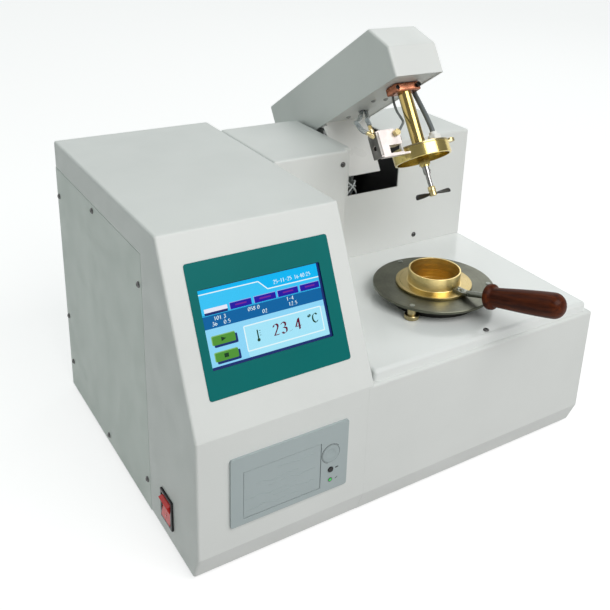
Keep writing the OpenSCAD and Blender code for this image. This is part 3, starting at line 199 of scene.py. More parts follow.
def add(tree, kind, *values, **settings):
    """A node of one kind: values for its first inputs in order, then settings by name."""
    node = tree.nodes.new(kind)
    dial(tree, node, **settings)
    for socket, value in zip(node.inputs, values):
        feed(tree, socket, value)
    return node


def object_space(tree, scale=(1, 1, 1), turn=(0, 0, 0), move=(0, 0, 0)):
    """Object coordinates, scaled, then turned, then moved."""
    where = add(tree, "ShaderNodeTexCoord").outputs["Object"]
    return add(tree, "ShaderNodeMapping", where, Scale=scale, Rotation=turn, Location=move).outputs["Vector"]


def noise(tree, vector, scale, detail=2.0, roughness=0.5):
    """A number from 0 to 1 that drifts over the vector, scale times in a unit."""
    node = add(tree, "ShaderNodeTexNoise", vector, Scale=scale, Detail=detail, Roughness=roughness)
    return node.outputs["Fac"]


def maths(tree, operation, *values):
    """One operation on one or two numbers."""
    return add(tree, "ShaderNodeMath", *values, operation=operation).outputs[0]


def mix(tree, factor, near, far):
    """One colour, and another as the factor goes to 1. A node of this kind has its two colours at
    places 6 and 7, after those for numbers and vectors."""
    node = add(tree, "ShaderNodeMix", data_type="RGBA", Factor=factor)
    feed(tree, node.inputs[6], near)
    feed(tree, node.inputs[7], far)
    return node.outputs[2]


def between(tree, factor, low, high, start=0.35, end=0.65):
    """A colour or grey that runs from low to high as the factor goes from start to end."""
    ramp = add(tree, "ShaderNodeValToRGB", factor)
    for stop, position, value in zip(ramp.color_ramp.elements, (start, end), (low, high)):
        stop.position = position
        stop.color = (*value, 1) if isinstance(value, (tuple, list)) else (value, value, value, 1)
    return ramp.outputs["Color"]


def shade(colour, amount):
    """Each channel times 1 + amount, kept between 0 and 1."""
    return tuple(min(1.0, max(0.0, c * (1 + amount))) for c in colour)


def clouded(tree, factor, colour, darker, paler, start=0.35, end=0.65):
    """The colour, from a share darker to a share paler as the factor rises."""
    return between(tree, factor, shade(colour, -darker), shade(colour, paler), start, end)


def bump(tree, shader, heights, strength, depth_mm):
    """The shader's normal leans with the slope of the heights, which are depth_mm tall."""
    node = add(tree, "ShaderNodeBump", Strength=strength, Distance=depth_mm * MM, Height=heights)
    dial(tree, shader, Normal=node.outputs["Normal"])


def turned_space(tree, point, tilt):
    """Coordinates of a lathe: distance from the work's axis and height along it. The point is on
    the axis, and the tilt is the angle by which that axis leans from upright about X."""
    move = -xyz(point[0], *spin(point[1], point[2], tilt))
    parts = add(tree, "ShaderNodeSeparateXYZ", object_space(tree, turn=(tilt, 0, 0), move=move)).outputs
    across, deep = (maths(tree, "MULTIPLY", parts[axis], parts[axis]) for axis in "XY")
    radius = maths(tree, "SQRT", maths(tree, "ADD", across, deep))
    return add(tree, "ShaderNodeCombineXYZ", X=radius, Z=parts["Z"]).outputs["Vector"]


# %% [markdown]
# The cabinet is sheet steel with a baked powder coat. Powder melts into a skin with a fine
# orange peel, so the gloss is broken but the white stays even. The tray and the shield are
# smoother enamel. The same function serves other painted and moulded pieces with other numbers.

# %% Paint and plastic
def coated(name, colour, roughness, grain_mm, depth_mm, drift=0.02, gloss=0.0, shine=0.5):
    """Cloudy colour, a fine peel in the bump, and a patchy roughness."""
    tree, shader = new_finish(name)
    space = object_space(tree)
    clouds, patches = noise(tree, space, 9.0, 3.0), noise(tree, space, 40.0, 3.0)
    bump(tree, shader, noise(tree, space, 1 / (grain_mm * MM), 2.0), 0.35, depth_mm)
    dial(
        tree, shader, Base_Color=clouded(tree, clouds, colour, drift, drift),
        Roughness=between(tree, patches, roughness * 0.88, roughness * 1.12),
        Specular_IOR_Level=shine, Coat_Weight=gloss, Coat_Roughness=0.12)


CASE_WHITE = (0.76, 0.775, 0.76)
# The side cover's white is a greener, slightly darker copy of the case white: painted tint and shade of the
# light on the left side.
SIDE_TINT_WHITE = (0.735, 0.785, 0.745)
ENAMEL_WHITE = (0.83, 0.85, 0.84)
coated("powder_white", CASE_WHITE, 0.42, 0.9, 0.035)
coated("powder_white_side_tint", SIDE_TINT_WHITE, 0.45, 0.9, 0.035)
coated("enamel_white", ENAMEL_WHITE, 0.24, 3.0, 0.02, gloss=0.2)
coated("enamel_shield", (0.86, 0.86, 0.84), 0.3, 2.0, 0.02, gloss=0.1)
coated("zinc_sheet", (0.55, 0.57, 0.56), 0.4, 1.2, 0.03, drift=0.08)
coated("satin_black", (0.012, 0.012, 0.013), 0.5, 0.8, 0.04, drift=0.2)
coated("moulded_rubber", (0.018, 0.018, 0.018), 0.72, 0.6, 0.06, drift=0.15)
coated("teal_overlay", (0.0005, 0.155, 0.150), 0.45, 0.35, 0.01, drift=0.04, shine=0.12)
coated("printer_plastic", (0.40, 0.46, 0.47), 0.42, 0.45, 0.02, drift=0.03)
coated("button_plastic", (0.37, 0.43, 0.44), 0.38, 0.45, 0.02, drift=0.03)
coated("black_gloss_plastic", (0.006, 0.006, 0.007), 0.30, 1.5, 0.01, gloss=0.15, shine=0.25)
coated("black_moulding", (0.014, 0.014, 0.015), 0.5, 0.5, 0.04, drift=0.15)
# The display's frame and panel are dark navy: painted shade of the window's recess.
coated("display_edge", (0.004, 0.012, 0.075), 0.35, 0.8, 0.01)
coated("circuit_board", (0.012, 0.11, 0.035), 0.35, 2.0, 0.05, drift=0.25)
coated("thermal_paper", (0.82, 0.81, 0.77), 0.8, 0.25, 0.02)
coated("white_nylon", (0.88, 0.88, 0.85), 0.34, 1.8, 0.12, drift=0.04)
coated("ceramic", (0.74, 0.73, 0.70), 0.2, 1.0, 0.01, gloss=0.4)
coated("grey_cable", (0.125, 0.145, 0.15), 0.42, 0.7, 0.03, drift=0.12)
coated("grey_wire", (0.17, 0.19, 0.19), 0.42, 0.7, 0.03, drift=0.1)
coated("pale_wire", (0.55, 0.58, 0.58), 0.35, 0.7, 0.02, drift=0.1)
coated("dark_ink", (0.02, 0.022, 0.022), 0.5, 0.5, 0.005)
print("finishes: paint and plastic", len(finishes))


# %% [markdown]
# Brass, steel and copper differ in colour and in the marks of how they were made. A lathe leaves
# rings, so the pattern for turned pieces is noise of two numbers only: the distance from the axis
# and the height along it. A milled or rolled piece gets streaks along one direction instead.

# %% Metals
DARKER_SHARE = 0.55     # how much of its colour the metal keeps past that radius


def turned_metal(
        name, colour, roughness, point, tilt=0.0, ring_mm=0.35, depth_mm=0.012, tarnish=0.12, darker_from_mm=None):
    """Rings about an axis in bump and roughness, and soft clouds of tarnish in the colour. Past
    the radius that darker_from_mm gives, the colour is darker."""
    tree, shader = new_finish(name)
    lathe_space = turned_space(tree, point, tilt)
    rings = noise(tree, lathe_space, 1 / (ring_mm * MM), 3.0, 0.7)
    clouds = noise(tree, object_space(tree), 60.0, 4.0, 0.6)
    colours = clouded(tree, clouds, colour, tarnish, tarnish * 0.5, 0.3, 0.7)
    if darker_from_mm is not None:
        reach = add(tree, "ShaderNodeSeparateXYZ", lathe_space).outputs["X"]
        edge = ((darker_from_mm - 0.5) * MM, (darker_from_mm + 0.5) * MM)
        fade = add(tree, "ShaderNodeMapRange", reach, *edge, 1.0, DARKER_SHARE).outputs[0]
        colours = add(tree, "ShaderNodeVectorMath", colours, operation="SCALE", Scale=fade).outputs[0]
    bump(tree, shader, rings, 0.5, depth_mm)
    dial(
        tree, shader, Metallic=1.0, Base_Color=colours,
        Roughness=between(tree, rings, roughness * 0.75, roughness * 1.3, 0.3, 0.7))


def brushed_metal(name, colour, roughness, along=(40, 900, 900), depth_mm=0.01, tarnish=0.1):
    """Streaks: noise stretched along the direction with the smallest scale."""
    tree, shader = new_finish(name)
    streaks = noise(tree, object_space(tree, scale=along), 1.0, 3.0, 0.65)
    clouds = noise(tree, object_space(tree), 90.0, 3.0)
    bump(tree, shader, streaks, 0.4, depth_mm)
    dial(
        tree, shader, Metallic=1.0, Base_Color=clouded(tree, clouds, colour, tarnish, tarnish, 0.3, 0.7),
        Roughness=between(tree, streaks, roughness * 0.8, roughness * 1.25))


def two_tone(name, near, far, roughness, point, reach_mm):
    """One metal within reach of a point and another beyond it, for screws of two kinds in one node."""
    tree, shader = new_finish(name)
    away = add(tree, "ShaderNodeVectorMath", object_space(tree), point, operation="DISTANCE")
    wear = noise(tree, object_space(tree), 700.0, 2.0)
    edge = between(tree, away.outputs["Value"], 0.0, 1.0, reach_mm * MM * 0.98, reach_mm * MM)
    dial(
        tree, shader, Metallic=0.6, Base_Color=mix(tree, edge, (*near, 1), (*far, 1)),
        Roughness=between(tree, wear, roughness * 0.8, roughness * 1.2))


column_point = on_arm((cup_x, cup_y, 200.0))
BRASS = (0.56, 0.42, 0.15)
LID_BRASS = (0.74, 0.60, 0.22)
DULL_BRASS = (0.50, 0.42, 0.22)
OXIDE = (0.145, 0.15, 0.115)
EVEN = (500, 500, 500)     # scale of the same grain along and across
turned_metal("cup_brass", (0.93, 0.74, 0.33), 0.30, cup_centre, ring_mm=0.5, depth_mm=0.015, darker_from_mm=28)
turned_metal("column_brass", BRASS, 0.15, column_point, lift, ring_mm=0.6, depth_mm=0.003)
turned_metal("lid_brass", LID_BRASS, 0.18, column_point, lift, ring_mm=0.7, depth_mm=0.005)
turned_metal("shutter_brass", DULL_BRASS, 0.28, column_point, lift, ring_mm=0.4, depth_mm=0.005)
brushed_metal("nut_brass", (0.42, 0.35, 0.19), 0.3, along=(300, 300, 300), tarnish=0.2)
brushed_metal("knob_brass", (0.74, 0.62, 0.32), 0.30, along=(300, 300, 300), depth_mm=0.003)
brushed_metal("bush_bronze", (0.42, 0.27, 0.12), 0.4)
turned_metal("oxidised_disc", OXIDE, 0.36, cup_centre, ring_mm=0.8, tarnish=0.25)
# The stove ring is near black as painted shade of the gap under the stove plate.
turned_metal("stove_ring_shade", (0.05, 0.05, 0.045), 0.4, cup_centre, ring_mm=0.5)
turned_metal("cast_pot", (0.09, 0.09, 0.09), 0.5, cup_centre, ring_mm=0.8)
brushed_metal("heater_band", (0.32, 0.28, 0.22), 0.5)
brushed_metal("nickel_screw", (0.13, 0.13, 0.13), 0.30, EVEN)
brushed_metal("bright_screw", (0.30, 0.32, 0.29), 0.34, EVEN)
brushed_metal("black_screw", (0.02, 0.02, 0.021), 0.35, EVEN)
turned_metal("shaft_steel", (0.40, 0.40, 0.39), 0.20, column_point, lift, ring_mm=0.5)
brushed_metal("pivot_steel", (0.56, 0.56, 0.56), 0.3)
brushed_metal("motor_can", (0.30, 0.31, 0.32), 0.38)
brushed_metal("supply_case", (0.55, 0.56, 0.57), 0.4)
brushed_metal("shank_steel", (0.27, 0.285, 0.25), 0.34, (200, 60, 600))
brushed_metal("block_metal", (0.74, 0.685, 0.665), 0.42, (500, 60, 500))
brushed_metal("block_side_plate", (0.16, 0.155, 0.145), 0.35, (500, 60, 500), tarnish=0.3)
brushed_metal("blade_steel", (0.060, 0.062, 0.064), 0.35, (80, 600, 600), tarnish=0.3)
brushed_metal("clamp_copper", (0.42, 0.165, 0.095), 0.30, (160, 160, 160), depth_mm=0.1, tarnish=0.5)
two_tone("arm_screws", (0.02, 0.02, 0.02), (0.36, 0.37, 0.36), 0.35, on_arm((cup_x, cup_y, 252.0)), 24)
brushed_metal("inlet_pin", (0.60, 0.59, 0.55), 0.25)
print("finishes: with the metals", len(finishes))


# %% [markdown]
# The last finishes are see-through, lit or grown. The gas hoses are clear soft tube: their walls look
# greyer at the edges, where the line of sight runs along the wall, which Layer Weight gives for
# any viewpoint. Lamps, rocker and display glow a little. The grip is lacquered hardwood, with
# grain stretched along the handle under a clear coat.

# %% Clear tube, glowing plastic and lacquered wood
def clear_tube(name, colour, low, high):
    """Soft plastic whose cover runs from low, seen square on, to high at the edges."""
    tree, shader = new_finish(name)
    edge = add(tree, "ShaderNodeLayerWeight", Blend=0.45).outputs["Facing"]
    bump(tree, shader, noise(tree, object_space(tree), 400.0, 2.0), 0.3, 0.05)
    dial(
        tree, shader, Base_Color=(*colour, 1), Roughness=0.12,
        Alpha=between(tree, edge, low, high, 0.1, 0.8))


def glowing(name, colour, strength, roughness=0.2, gloss=0.5, drift=0.1):
    """Plastic lit from behind: the same clouded colour reflects and shines."""
    tree, shader = new_finish(name)
    colours = clouded(tree, noise(tree, object_space(tree), 120.0, 2.0), colour, drift, drift)
    dial(
        tree, shader, Base_Color=colours, Emission_Color=colours, Emission_Strength=strength,
        Roughness=roughness, Coat_Weight=gloss)


HANDLE_TURN = 12.0     # degrees, handle away from straight forward
HANDLE_RISE = 15.0     # degrees, slope of the handle
handle_heading = math.radians(HANDLE_TURN - 90)


def lacquered_wood(name, dark, pale, heading, rise):
    """Grain: noise squeezed across the handle's line, in a frame turned onto that line."""
    tree, shader = new_finish(name)
    level = object_space(tree, turn=(0, 0, -heading))
    onto = add(tree, "ShaderNodeMapping", level, Rotation=(0, rise, 0)).outputs["Vector"]
    squeezed = add(tree, "ShaderNodeMapping", onto, Scale=(22, 260, 260)).outputs["Vector"]
    grain = noise(tree, squeezed, 1.0, 5.0, 0.65)
    bump(tree, shader, grain, 0.25, 0.05)
    dial(
        tree, shader, Base_Color=between(tree, grain, dark, pale, 0.36, 0.66), Roughness=0.55,
        Specular_IOR_Level=0.12, Coat_Weight=0.10, Coat_Roughness=0.06)


clear_tube("clear_hose", (0.30, 0.34, 0.35), 0.42, 0.97)
glowing("rocker_red", (0.52, 0.008, 0.006), 0.22, gloss=0.15)
glowing("lamp_green", (0.02, 0.36, 0.05), 0.5)
lacquered_wood(
    "grip_wood", (0.036, 0.0050, 0.0004), (0.110, 0.019, 0.0012), handle_heading,
    math.radians(HANDLE_RISE))
print("finishes: with clear, lit and wood", len(finishes))

# %% [markdown]
# Every node of the frame takes one of these finishes. The table is read the other way round from
# a parts list: one finish, then all the pieces that left the same paint shop or bar of metal.

# %% Dress the frame
DRESS = {
    "powder_white": [
        "case_shell", "rear_panels", "tower_left_box", "tower_housing", "arm_housing", "arm_base"],
    "powder_white_side_tint": ["side_cover"],
    "enamel_white": ["bench_tray"],
    "enamel_shield": ["arm_shield"],
    "zinc_sheet": ["base_plate", "arm_cheeks"],
    "moulded_rubber": ["rubber_feet", "platen_roller"],
    "nickel_screw": ["case_screws"],
    "arm_screws": ["arm_screws"],
    # On the arm well this black is painted shade of the deep slot as well as paint.
    "satin_black": ["arm_well", "stove_can"],
    "bush_bronze": ["pivot_bushes"],
    "motor_can": ["lift_gearmotor", "stirrer_motor"],
    "pivot_steel": ["pivot_shaft"],
    "shaft_steel": ["stirrer_shaft"],
    "teal_overlay": ["screen_mask"],
    "display_edge": ["display_frame", "display_panel"],
    "circuit_board": ["control_board"],
    "supply_case": ["power_supply"],
    "printer_plastic": ["printer_frame", "printer_door"],
    "button_plastic": ["door_button"],
    "thermal_paper": ["paper_roll"],
    "black_gloss_plastic": ["feed_button", "rocker_bezel"],
    "lamp_green": ["printer_lamp"],
    "rocker_red": ["rocker"],
    "black_moulding": ["power_inlet", "fan_frame", "fan_rotor"],
    "stove_ring_shade": ["stove_ring"],
    "cast_pot": ["air_bath"],
    "heater_band": ["heater_band"],
    "oxidised_disc": ["stove_plate"],
    "bright_screw": ["plate_screws"],
    "nut_brass": ["plate_nut_front", "plate_nut_right", "plate_nut_back"],
    "knob_brass": ["valve_knob"],
    "cup_brass": ["test_cup"],
    "column_brass": ["column_tube"],
    "lid_brass": ["lid"],
    "shutter_brass": ["shutter_plate"],
    "shank_steel": ["cup_shank"],
    "grip_wood": ["cup_grip"],
    "clamp_copper": ["column_clamp"],
    "block_metal": ["ignition_block"],
    "clear_hose": ["gas_hoses"],
    "white_nylon": ["sensor_fitting"],
    "grey_cable": ["sensor_cable"],
    "grey_wire": ["spark_electrode"],
    "blade_steel": ["stirrer_blades"],
}
for finish, members in DRESS.items():
    for name in members:
        nodes[name].data.materials.clear()
        nodes[name].data.materials.append(finishes[finish])
undressed = sorted(set(nodes) - {name for members in DRESS.values() for name in members})
print("nodes without a finish:", undressed)

# %% [markdown]
# New pieces are surfaces on a grid. Each formula gives a point for every pair of two parameters,
# numpy works out all of them at once, and one function joins neighbours into quads. Where rows
# meet, at a seam or a pole, the doubled points are merged, so that the surface is closed.

# %% From a grid of points to a mesh
SHARP = math.radians(38)


def full_turn(count):
    """Angles at equal steps round a circle, without the last, which is the first again."""
    return np.linspace(0, 2 * np.pi, count, endpoint=False)


def capped(grid):
    """One more row before the first and after the last, drawn in to the middle of that row."""
    ends = [np.repeat(grid[k].mean(0)[None, None], grid.shape[1], axis=1) for k in (0, -1)]
    return np.vstack([ends[0], grid, ends[1]])


def surface(name, grid, wrap=True):
    """A grid of points, (rows, columns, 3), as quads. The last column joins the first if wrap is
    true. Points in one place are merged, faces point outwards, and only sharp edges stay sharp."""
    rows, columns = grid.shape[:2]
    step = np.arange(columns if wrap else columns - 1)
    first = np.arange(rows - 1)[:, None] * columns
    after = (step + 1) % columns
    quads = np.stack([first + step, first + columns + step, first + columns + after, first + after], axis=-1)
    mesh = bpy.data.meshes.new(name)
    mesh.from_pydata(grid.reshape(-1, 3).tolist(), [], quads.reshape(-1, 4).tolist())
    work = bmesh.new()
    work.from_mesh(mesh)
    bmesh.ops.remove_doubles(work, verts=work.verts, dist=2e-7)
    bmesh.ops.recalc_face_normals(work, faces=work.faces)
    work.to_mesh(mesh)
    work.free()
    mesh.shade_smooth()
    mesh.set_sharp_from_angle(angle=SHARP)
    piece = bpy.data.objects.new(name, mesh)
    bpy.context.scene.collection.objects.link(piece)
    return piece


def joined(name, pieces):
    """Several surfaces become one piece under one name."""
    work = bmesh.new()
    for piece in pieces:
        work.from_mesh(piece.data)
        bpy.data.meshes.remove(piece.data)
    mesh = bpy.data.meshes.new(name)
    work.to_mesh(mesh)
    work.free()
    mesh.set_sharp_from_angle(angle=SHARP)
    piece = bpy.data.objects.new(name, mesh)
    bpy.context.scene.collection.objects.link(piece)
    return piece


def fit(piece, finish, body, stands_for=()):
    """Finish and body of a new piece, and the nodes that it stands for."""
    piece.data.materials.append(finishes[finish])
    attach(piece, body)
    if stands_for:
        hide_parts(*stands_for)
    corners = np.array([vertex.co for vertex in piece.data.vertices])
    print(piece.name, "size", np.round(np.ptp(corners, axis=0) / MM, 1).tolist(), "mm")
    return piece


# %% [markdown]
# Two formulas make most of the small pieces. A lathe turns a profile about an upright axis. A tube
# carries a circle along a route: a smooth curve runs through given points, and at each point the
# circle lies across the curve. The ends close to a point, which leaves no open rims.

# %% Lathe and tube
def lathe(name, profile, centre=(0, 0, 0), sides=96, place=on_case, lean=None):
    """Point = centre + (radius cos a, radius sin a, height) for a full turn of the angle a. A lean
    turns the work about its own centre before it is placed."""
    radius, height = np.asarray(profile, float).T[..., None]
    grid = xyz(*spin(radius, 0, full_turn(sides)), height)
    if lean is not None:
        grid = grid @ np.array(lean).T
    return surface(name, place(grid + centre))


def smooth_route(points, steps):
    """Catmull-Rom curve: between two points, a cubic whose slope at each is half the step from its
    neighbour before to its neighbour after."""
    p = np.asarray(points, float)
    p = np.vstack([2 * p[0] - p[1], p, 2 * p[-1] - p[-2]])
    a, b, c, d = (p[k:len(p) - 3 + k, None] for k in range(4))
    t = np.linspace(0, 1, steps, endpoint=False)[:, None]
    curve = 0.5 * (2 * b + (c - a) * t + (2 * a - 5 * b + 4 * c - d) * t**2 + (3 * b - a - 3 * c + d) * t**3)
    return np.vstack([curve.reshape(-1, p.shape[1]), p[-2]])


def tube(name, route, radius, sides=20, across=(1, 0, 0), place=on_case):
    """Point = route + radius (cos a side + sin a up), where side is the part of one fixed direction
    that lies across the curve, and up is square to both."""
    along = np.gradient(route, axis=0)
    along /= np.linalg.norm(along, axis=1, keepdims=True)
    across = np.asarray(across, float)
    side = across - (along @ across)[:, None] * along
    side /= np.linalg.norm(side, axis=1, keepdims=True)
    up = np.cross(along, side)
    angle = full_turn(sides)[:, None]
    spokes = np.cos(angle) * side[:, None] + np.sin(angle) * up[:, None]
    return surface(name, place(capped(route[:, None] + radius * spokes)))


# %% [markdown]
# The cup is turned from brass bar. Its parts are a plain wall, a flange that hangs in the stove, and
# fine edges that catch the light. The frame has the same form with coarse edges; the lathe profile
# here rounds them and leaves a filling mark inside. Radii and heights come from the node's box.

# %% Test cup
CUP_RADIUS, CUP_BORE, CUP_DEPTH = 27.0, 25.4, 56.0
FLANGE_RADIUS = (cup_high[0] - cup_low[0]) / 2
FLANGE_THICKNESS = 2.6
cup_bottom = cup_low[2]
seat_z = rim_z - 16.5          # underside of the flange


def arc(centre, radius, start, end, steps=5):
    """Points on a circle from one angle to another, in degrees."""
    angle = np.radians(np.linspace(start, end, steps))
    return [(centre[0] + radius * math.cos(a), centre[1] + radius * math.sin(a)) for a in angle]


def cup_profile():
    """Radius and height: from the axis out under the cup, up its wall and round the flange, over the
    rim, and down the bore past the filling mark to the floor."""
    top = seat_z + FLANGE_THICKNESS
    floor = rim_z - CUP_DEPTH
    mark = rim_z - 21.8
    profile = [(0, cup_bottom), (CUP_RADIUS - 2, cup_bottom)]
    profile += arc((CUP_RADIUS - 2, cup_bottom + 2), 2, -90, 0)
    profile += [(CUP_RADIUS, seat_z), (FLANGE_RADIUS - 0.4, seat_z)]
    profile += arc((FLANGE_RADIUS - 0.4, seat_z + 0.4), 0.4, -90, 0)
    profile += arc((FLANGE_RADIUS - 0.4, top - 0.4), 0.4, 0, 90)
    profile += arc((CUP_RADIUS + 0.9, top + 0.9), 0.9, 270, 180)
    profile += arc((CUP_RADIUS - 0.35, rim_z - 0.35), 0.35, 0, 90)
    profile += arc((CUP_BORE + 0.35, rim_z - 0.35), 0.35, 90, 180)
    profile += [(CUP_BORE, mark), (CUP_BORE + 0.25, mark - 0.2), (CUP_BORE, mark - 0.4)]
    profile += arc((CUP_BORE - 3, floor + 3), 3, 0, -90)
    return profile + [(0, floor)]


cup = lathe("cup_turned", cup_profile(), (cup_x, cup_y, 0), sides=160)
fit(cup, "cup_brass", "cup", ["test_cup"])

# %% [markdown]
# The handle is a turned hardwood grip on a steel rod. Its outline is a collar, a narrow neck that
# swells towards the end, and a dome. The lathe works upright, so the profile is turned first, and
# the finished work is then leaned onto the handle's line.

# %% Grip of the cup handle
BEND_AT, GRIP_START, ROD_HEIGHT = 40.5, 69.49, FLANGE_THICKNESS + 1.5
COLLAR_RADIUS, NECK_RADIUS, GRIP_RADIUS, GRIP_LENGTH = 12.8, 9.7, 12.3, 85.0
ROD_RADIUS = 3.12


def grip_profile():
    """Radius and distance along the grip: collar, throat, swelling body and dome."""
    dome = 0.9 * GRIP_RADIUS
    body = np.linspace(0, 1, 24)
    swell = NECK_RADIUS + (GRIP_RADIUS - NECK_RADIUS) * np.sin(body * np.pi / 2) ** 1.15
    profile = [(ROD_RADIUS, 0.4), (ROD_RADIUS + 0.3, 0), (COLLAR_RADIUS - 2.2, 0)]
    profile += arc((COLLAR_RADIUS - 2.2, 2.2), 2.2, -90, 0, 7)
    profile += arc((COLLAR_RADIUS - 2.2, 4.2), 2.2, 0, 80, 7)
    profile += arc((NECK_RADIUS + 2.4, 9.0), 2.4, 250, 180, 6)
    profile += list(zip(swell, 9.2 + (GRIP_LENGTH - dome - 9.2) * body))
    profile += arc((0, 0), 1, 8, 82, 9)
    cut = len(profile) - 9
    profile[cut:] = [(GRIP_RADIUS * r, GRIP_LENGTH - dome + dome * h) for r, h in profile[cut:]]
    return profile + [(0, GRIP_LENGTH), (0, 30), (ROD_RADIUS, 30), (ROD_RADIUS, 0.4)]


def on_handle(points):
    """Handle places (along, sideways, up) from the cup axis to the frame, past the bend."""
    x, y, z = axes(np.asarray(points, float) - (BEND_AT, 0, 0))
    run, height = spin(x, z, math.radians(HANDLE_RISE))
    x, y = spin(run + BEND_AT, y, handle_heading)
    return on_case(xyz(cup_x + x, cup_y + y, height + seat_z + ROD_HEIGHT))


ALONG_X = ((0, 0, 1), (0, 1, 0), (-1, 0, 0))   # turns an upright work onto the X direction
grip = lathe("grip_turned", grip_profile(), (GRIP_START, 0, 0), sides=96, place=on_handle, lean=ALONG_X)
fit(grip, "grip_wood", "cup", ["cup_grip"])
ferrule = lathe(
    "grip_ferrule", [(ROD_RADIUS, 0)] + arc((5.2, 1.0), 0.8, -90, 90) + [(ROD_RADIUS, 1.8)],
    (GRIP_START - 1.8, 0, 0), sides=64, place=on_handle, lean=ALONG_X)
fit(ferrule, "shank_steel", "cup")

# %% [markdown]
# Two clear hoses bring gas to the ignition block, a grey cable leaves the nylon fitting, and a thin
# wire goes to the spark electrode. Their routes are the listed points of the construction. The
# curve through them and the round section are finer here than in the frame.

# %% Hoses, cable and wire
HOSE_RADIUS, CABLE_RADIUS, WIRE_RADIUS = 2.3, 2.6, 1.3
LID_FOOT_Z = rim_z - 6.2
DECK_Z = LID_FOOT_Z + 12.2
HOSE_FRONT = [
    (242, 82, 210), (238, 82.5, 213), (238, 87, 220), (247, 102, 226), (266, 126, 233), (289, 153, 244),
    (305, 174, 252), (309, 178, 257)]
HOSE_BACK = [
    (252, 88, 218), (252, 88.5, 221), (257, 97, 226), (272, 117, 231), (291, 143, 239), (310, 171, 250),
    (316, 180, 257)]
CABLE = [
    (324, 86, DECK_Z + 12.7), (324, 86.3, DECK_Z + 17.5), (324, 89, 219), (325, 95, 236), (327.5, 101, 246),
    (330, 105, 252), (330.5, 106, 257)]
WIRE = [
    (279.4, 83.9, 203), (281.5, 84.2, 207), (287.5, 86, 211.8), (293.5, 89, 217), (297.3, 96, 224),
    (300, 103, 233), (304, 109, 245), (307.5, 111, 257)]
hoses = joined("hoses_clear", [
    tube(f"hose_{k}", smooth_route(route, 12), HOSE_RADIUS, place=on_arm)
    for k, route in enumerate((HOSE_FRONT, HOSE_BACK))])
fit(hoses, "clear_hose", "arm", ["gas_hoses"])
cable = tube("sensor_lead", smooth_route(CABLE, 12), CABLE_RADIUS, place=on_arm)
fit(cable, "grey_cable", "arm", ["sensor_cable"])
wire = tube("electrode_lead", smooth_route(WIRE, 12), WIRE_RADIUS, place=on_arm)
fit(wire, "grey_wire", "arm", ["spark_electrode"])

# %% [markdown]
# Under the wire sits the electrode itself: a ceramic rod in a collar with a small coil spring. A
# coil is a tube whose route is a helix, so the same function makes it.

# %% Electrode and its spring
ELECTRODE = (WIRE[0][0], WIRE[0][1], 0)
ROD_FOOT, ROD_TOP = 184.3, 204.0
electrode = lathe("electrode_rod", [
    (0, ROD_FOOT), (1.0, ROD_FOOT), (1.3, ROD_FOOT + 0.4), (1.3, 194.2), (1.9, 194.4), (1.9, 195.2),
    (1.25, 195.4), (1.25, 201.8), (2.1, 202.0), (2.1, ROD_TOP - 0.6), (1.7, ROD_TOP), (0, ROD_TOP)],
    ELECTRODE, sides=40, place=on_arm)
fit(electrode, "ceramic", "arm")

SPRING_TURNS, SPRING_RADIUS, SPRING_WIRE = 5, 2.0, 0.36


def helix(turns, radius, low, high, steps=28):
    """Round the axis by the angle while the height grows with it."""
    angle = np.linspace(0, 2 * np.pi * turns, turns * steps)
    return xyz(*spin(radius, 0, angle), np.linspace(low, high, len(angle)))


spring_route = helix(SPRING_TURNS, SPRING_RADIUS, 195.6, 201.4) + ELECTRODE
spring = tube("electrode_spring", spring_route, SPRING_WIRE, sides=10, across=(0, 0, 1), place=on_arm)
fit(spring, "nickel_screw", "arm")

# %% [markdown]
# The clamp that holds the column is a rough cast block with soft corners. Its section is a
# superellipse, a curve between an ellipse and a rectangle, and it swells and shrinks a little along
# the block as a hand-finished casting does.

# %% Column clamp
CLAMP_WIDTH, CLAMP_DEPTH, CLAMP_HEIGHT = 32.0, 20.0, 9.4
arm_floor = 257.0


def superellipse(angle, half_width, half_height, squareness):
    """x = a sign(cos) |cos|^n and y = b sign(sin) |sin|^n: n = 1 is an ellipse, small n a box."""
    c, s = np.cos(angle), np.sin(angle)
    return (
        half_width * np.sign(c) * np.abs(c) ** squareness,
        half_height * np.sign(s) * np.abs(s) ** squareness,
    )


def clamp_grid(rows=60, columns=72):
    """Sections along X: each one a superellipse that waves by a few tenths and shrinks to a point at
    both ends, where the row parameter bends from the flat end into the side."""
    t = np.linspace(0, np.pi, rows)
    x = -np.sign(np.cos(t)) * np.abs(np.cos(t)) ** 0.16 * CLAMP_WIDTH / 2
    swell = np.sin(t) ** 0.16
    angle = full_turn(columns)
    wave = 1 - 0.05 * (1 + np.sin(x * 0.9)[:, None] * np.cos(2 * angle + 0.6))
    y, z = superellipse(angle, CLAMP_DEPTH / 2, CLAMP_HEIGHT / 2, 0.28)
    return xyz(x[:, None], swell[:, None] * wave * y, swell[:, None] * wave * z)


clamp = surface("clamp_cast", on_arm(clamp_grid() + (cup_x, cup_y, arm_floor - CLAMP_HEIGHT / 2)))
fit(clamp, "clamp_copper", "arm", ["column_clamp"])
FORWARD = ((1, 0, 0), (0, 0, -1), (0, 1, 0))   # turns an upright work to point at the front
socket = lathe(
    "clamp_hole", [(0, -0.2), (2.1, -0.2), (2.4, 0.1), (2.1, 0.25), (0, 0.0)],
    (cup_x - 13.2, cup_y - CLAMP_DEPTH / 2 + 0.7, arm_floor - CLAMP_HEIGHT / 2),
    sides=36, place=on_arm, lean=FORWARD)
fit(socket, "black_screw", "arm")

# %% [markdown]
# The sensor fitting is a white nylon gland: a flange, a nut with rounded corners and a stub that
# grips the cable. The nut is a lathe's work whose radius rises and falls six times in a turn.

# %% Nylon fitting
FITTING = (cup_x + 15, cup_y - 8)


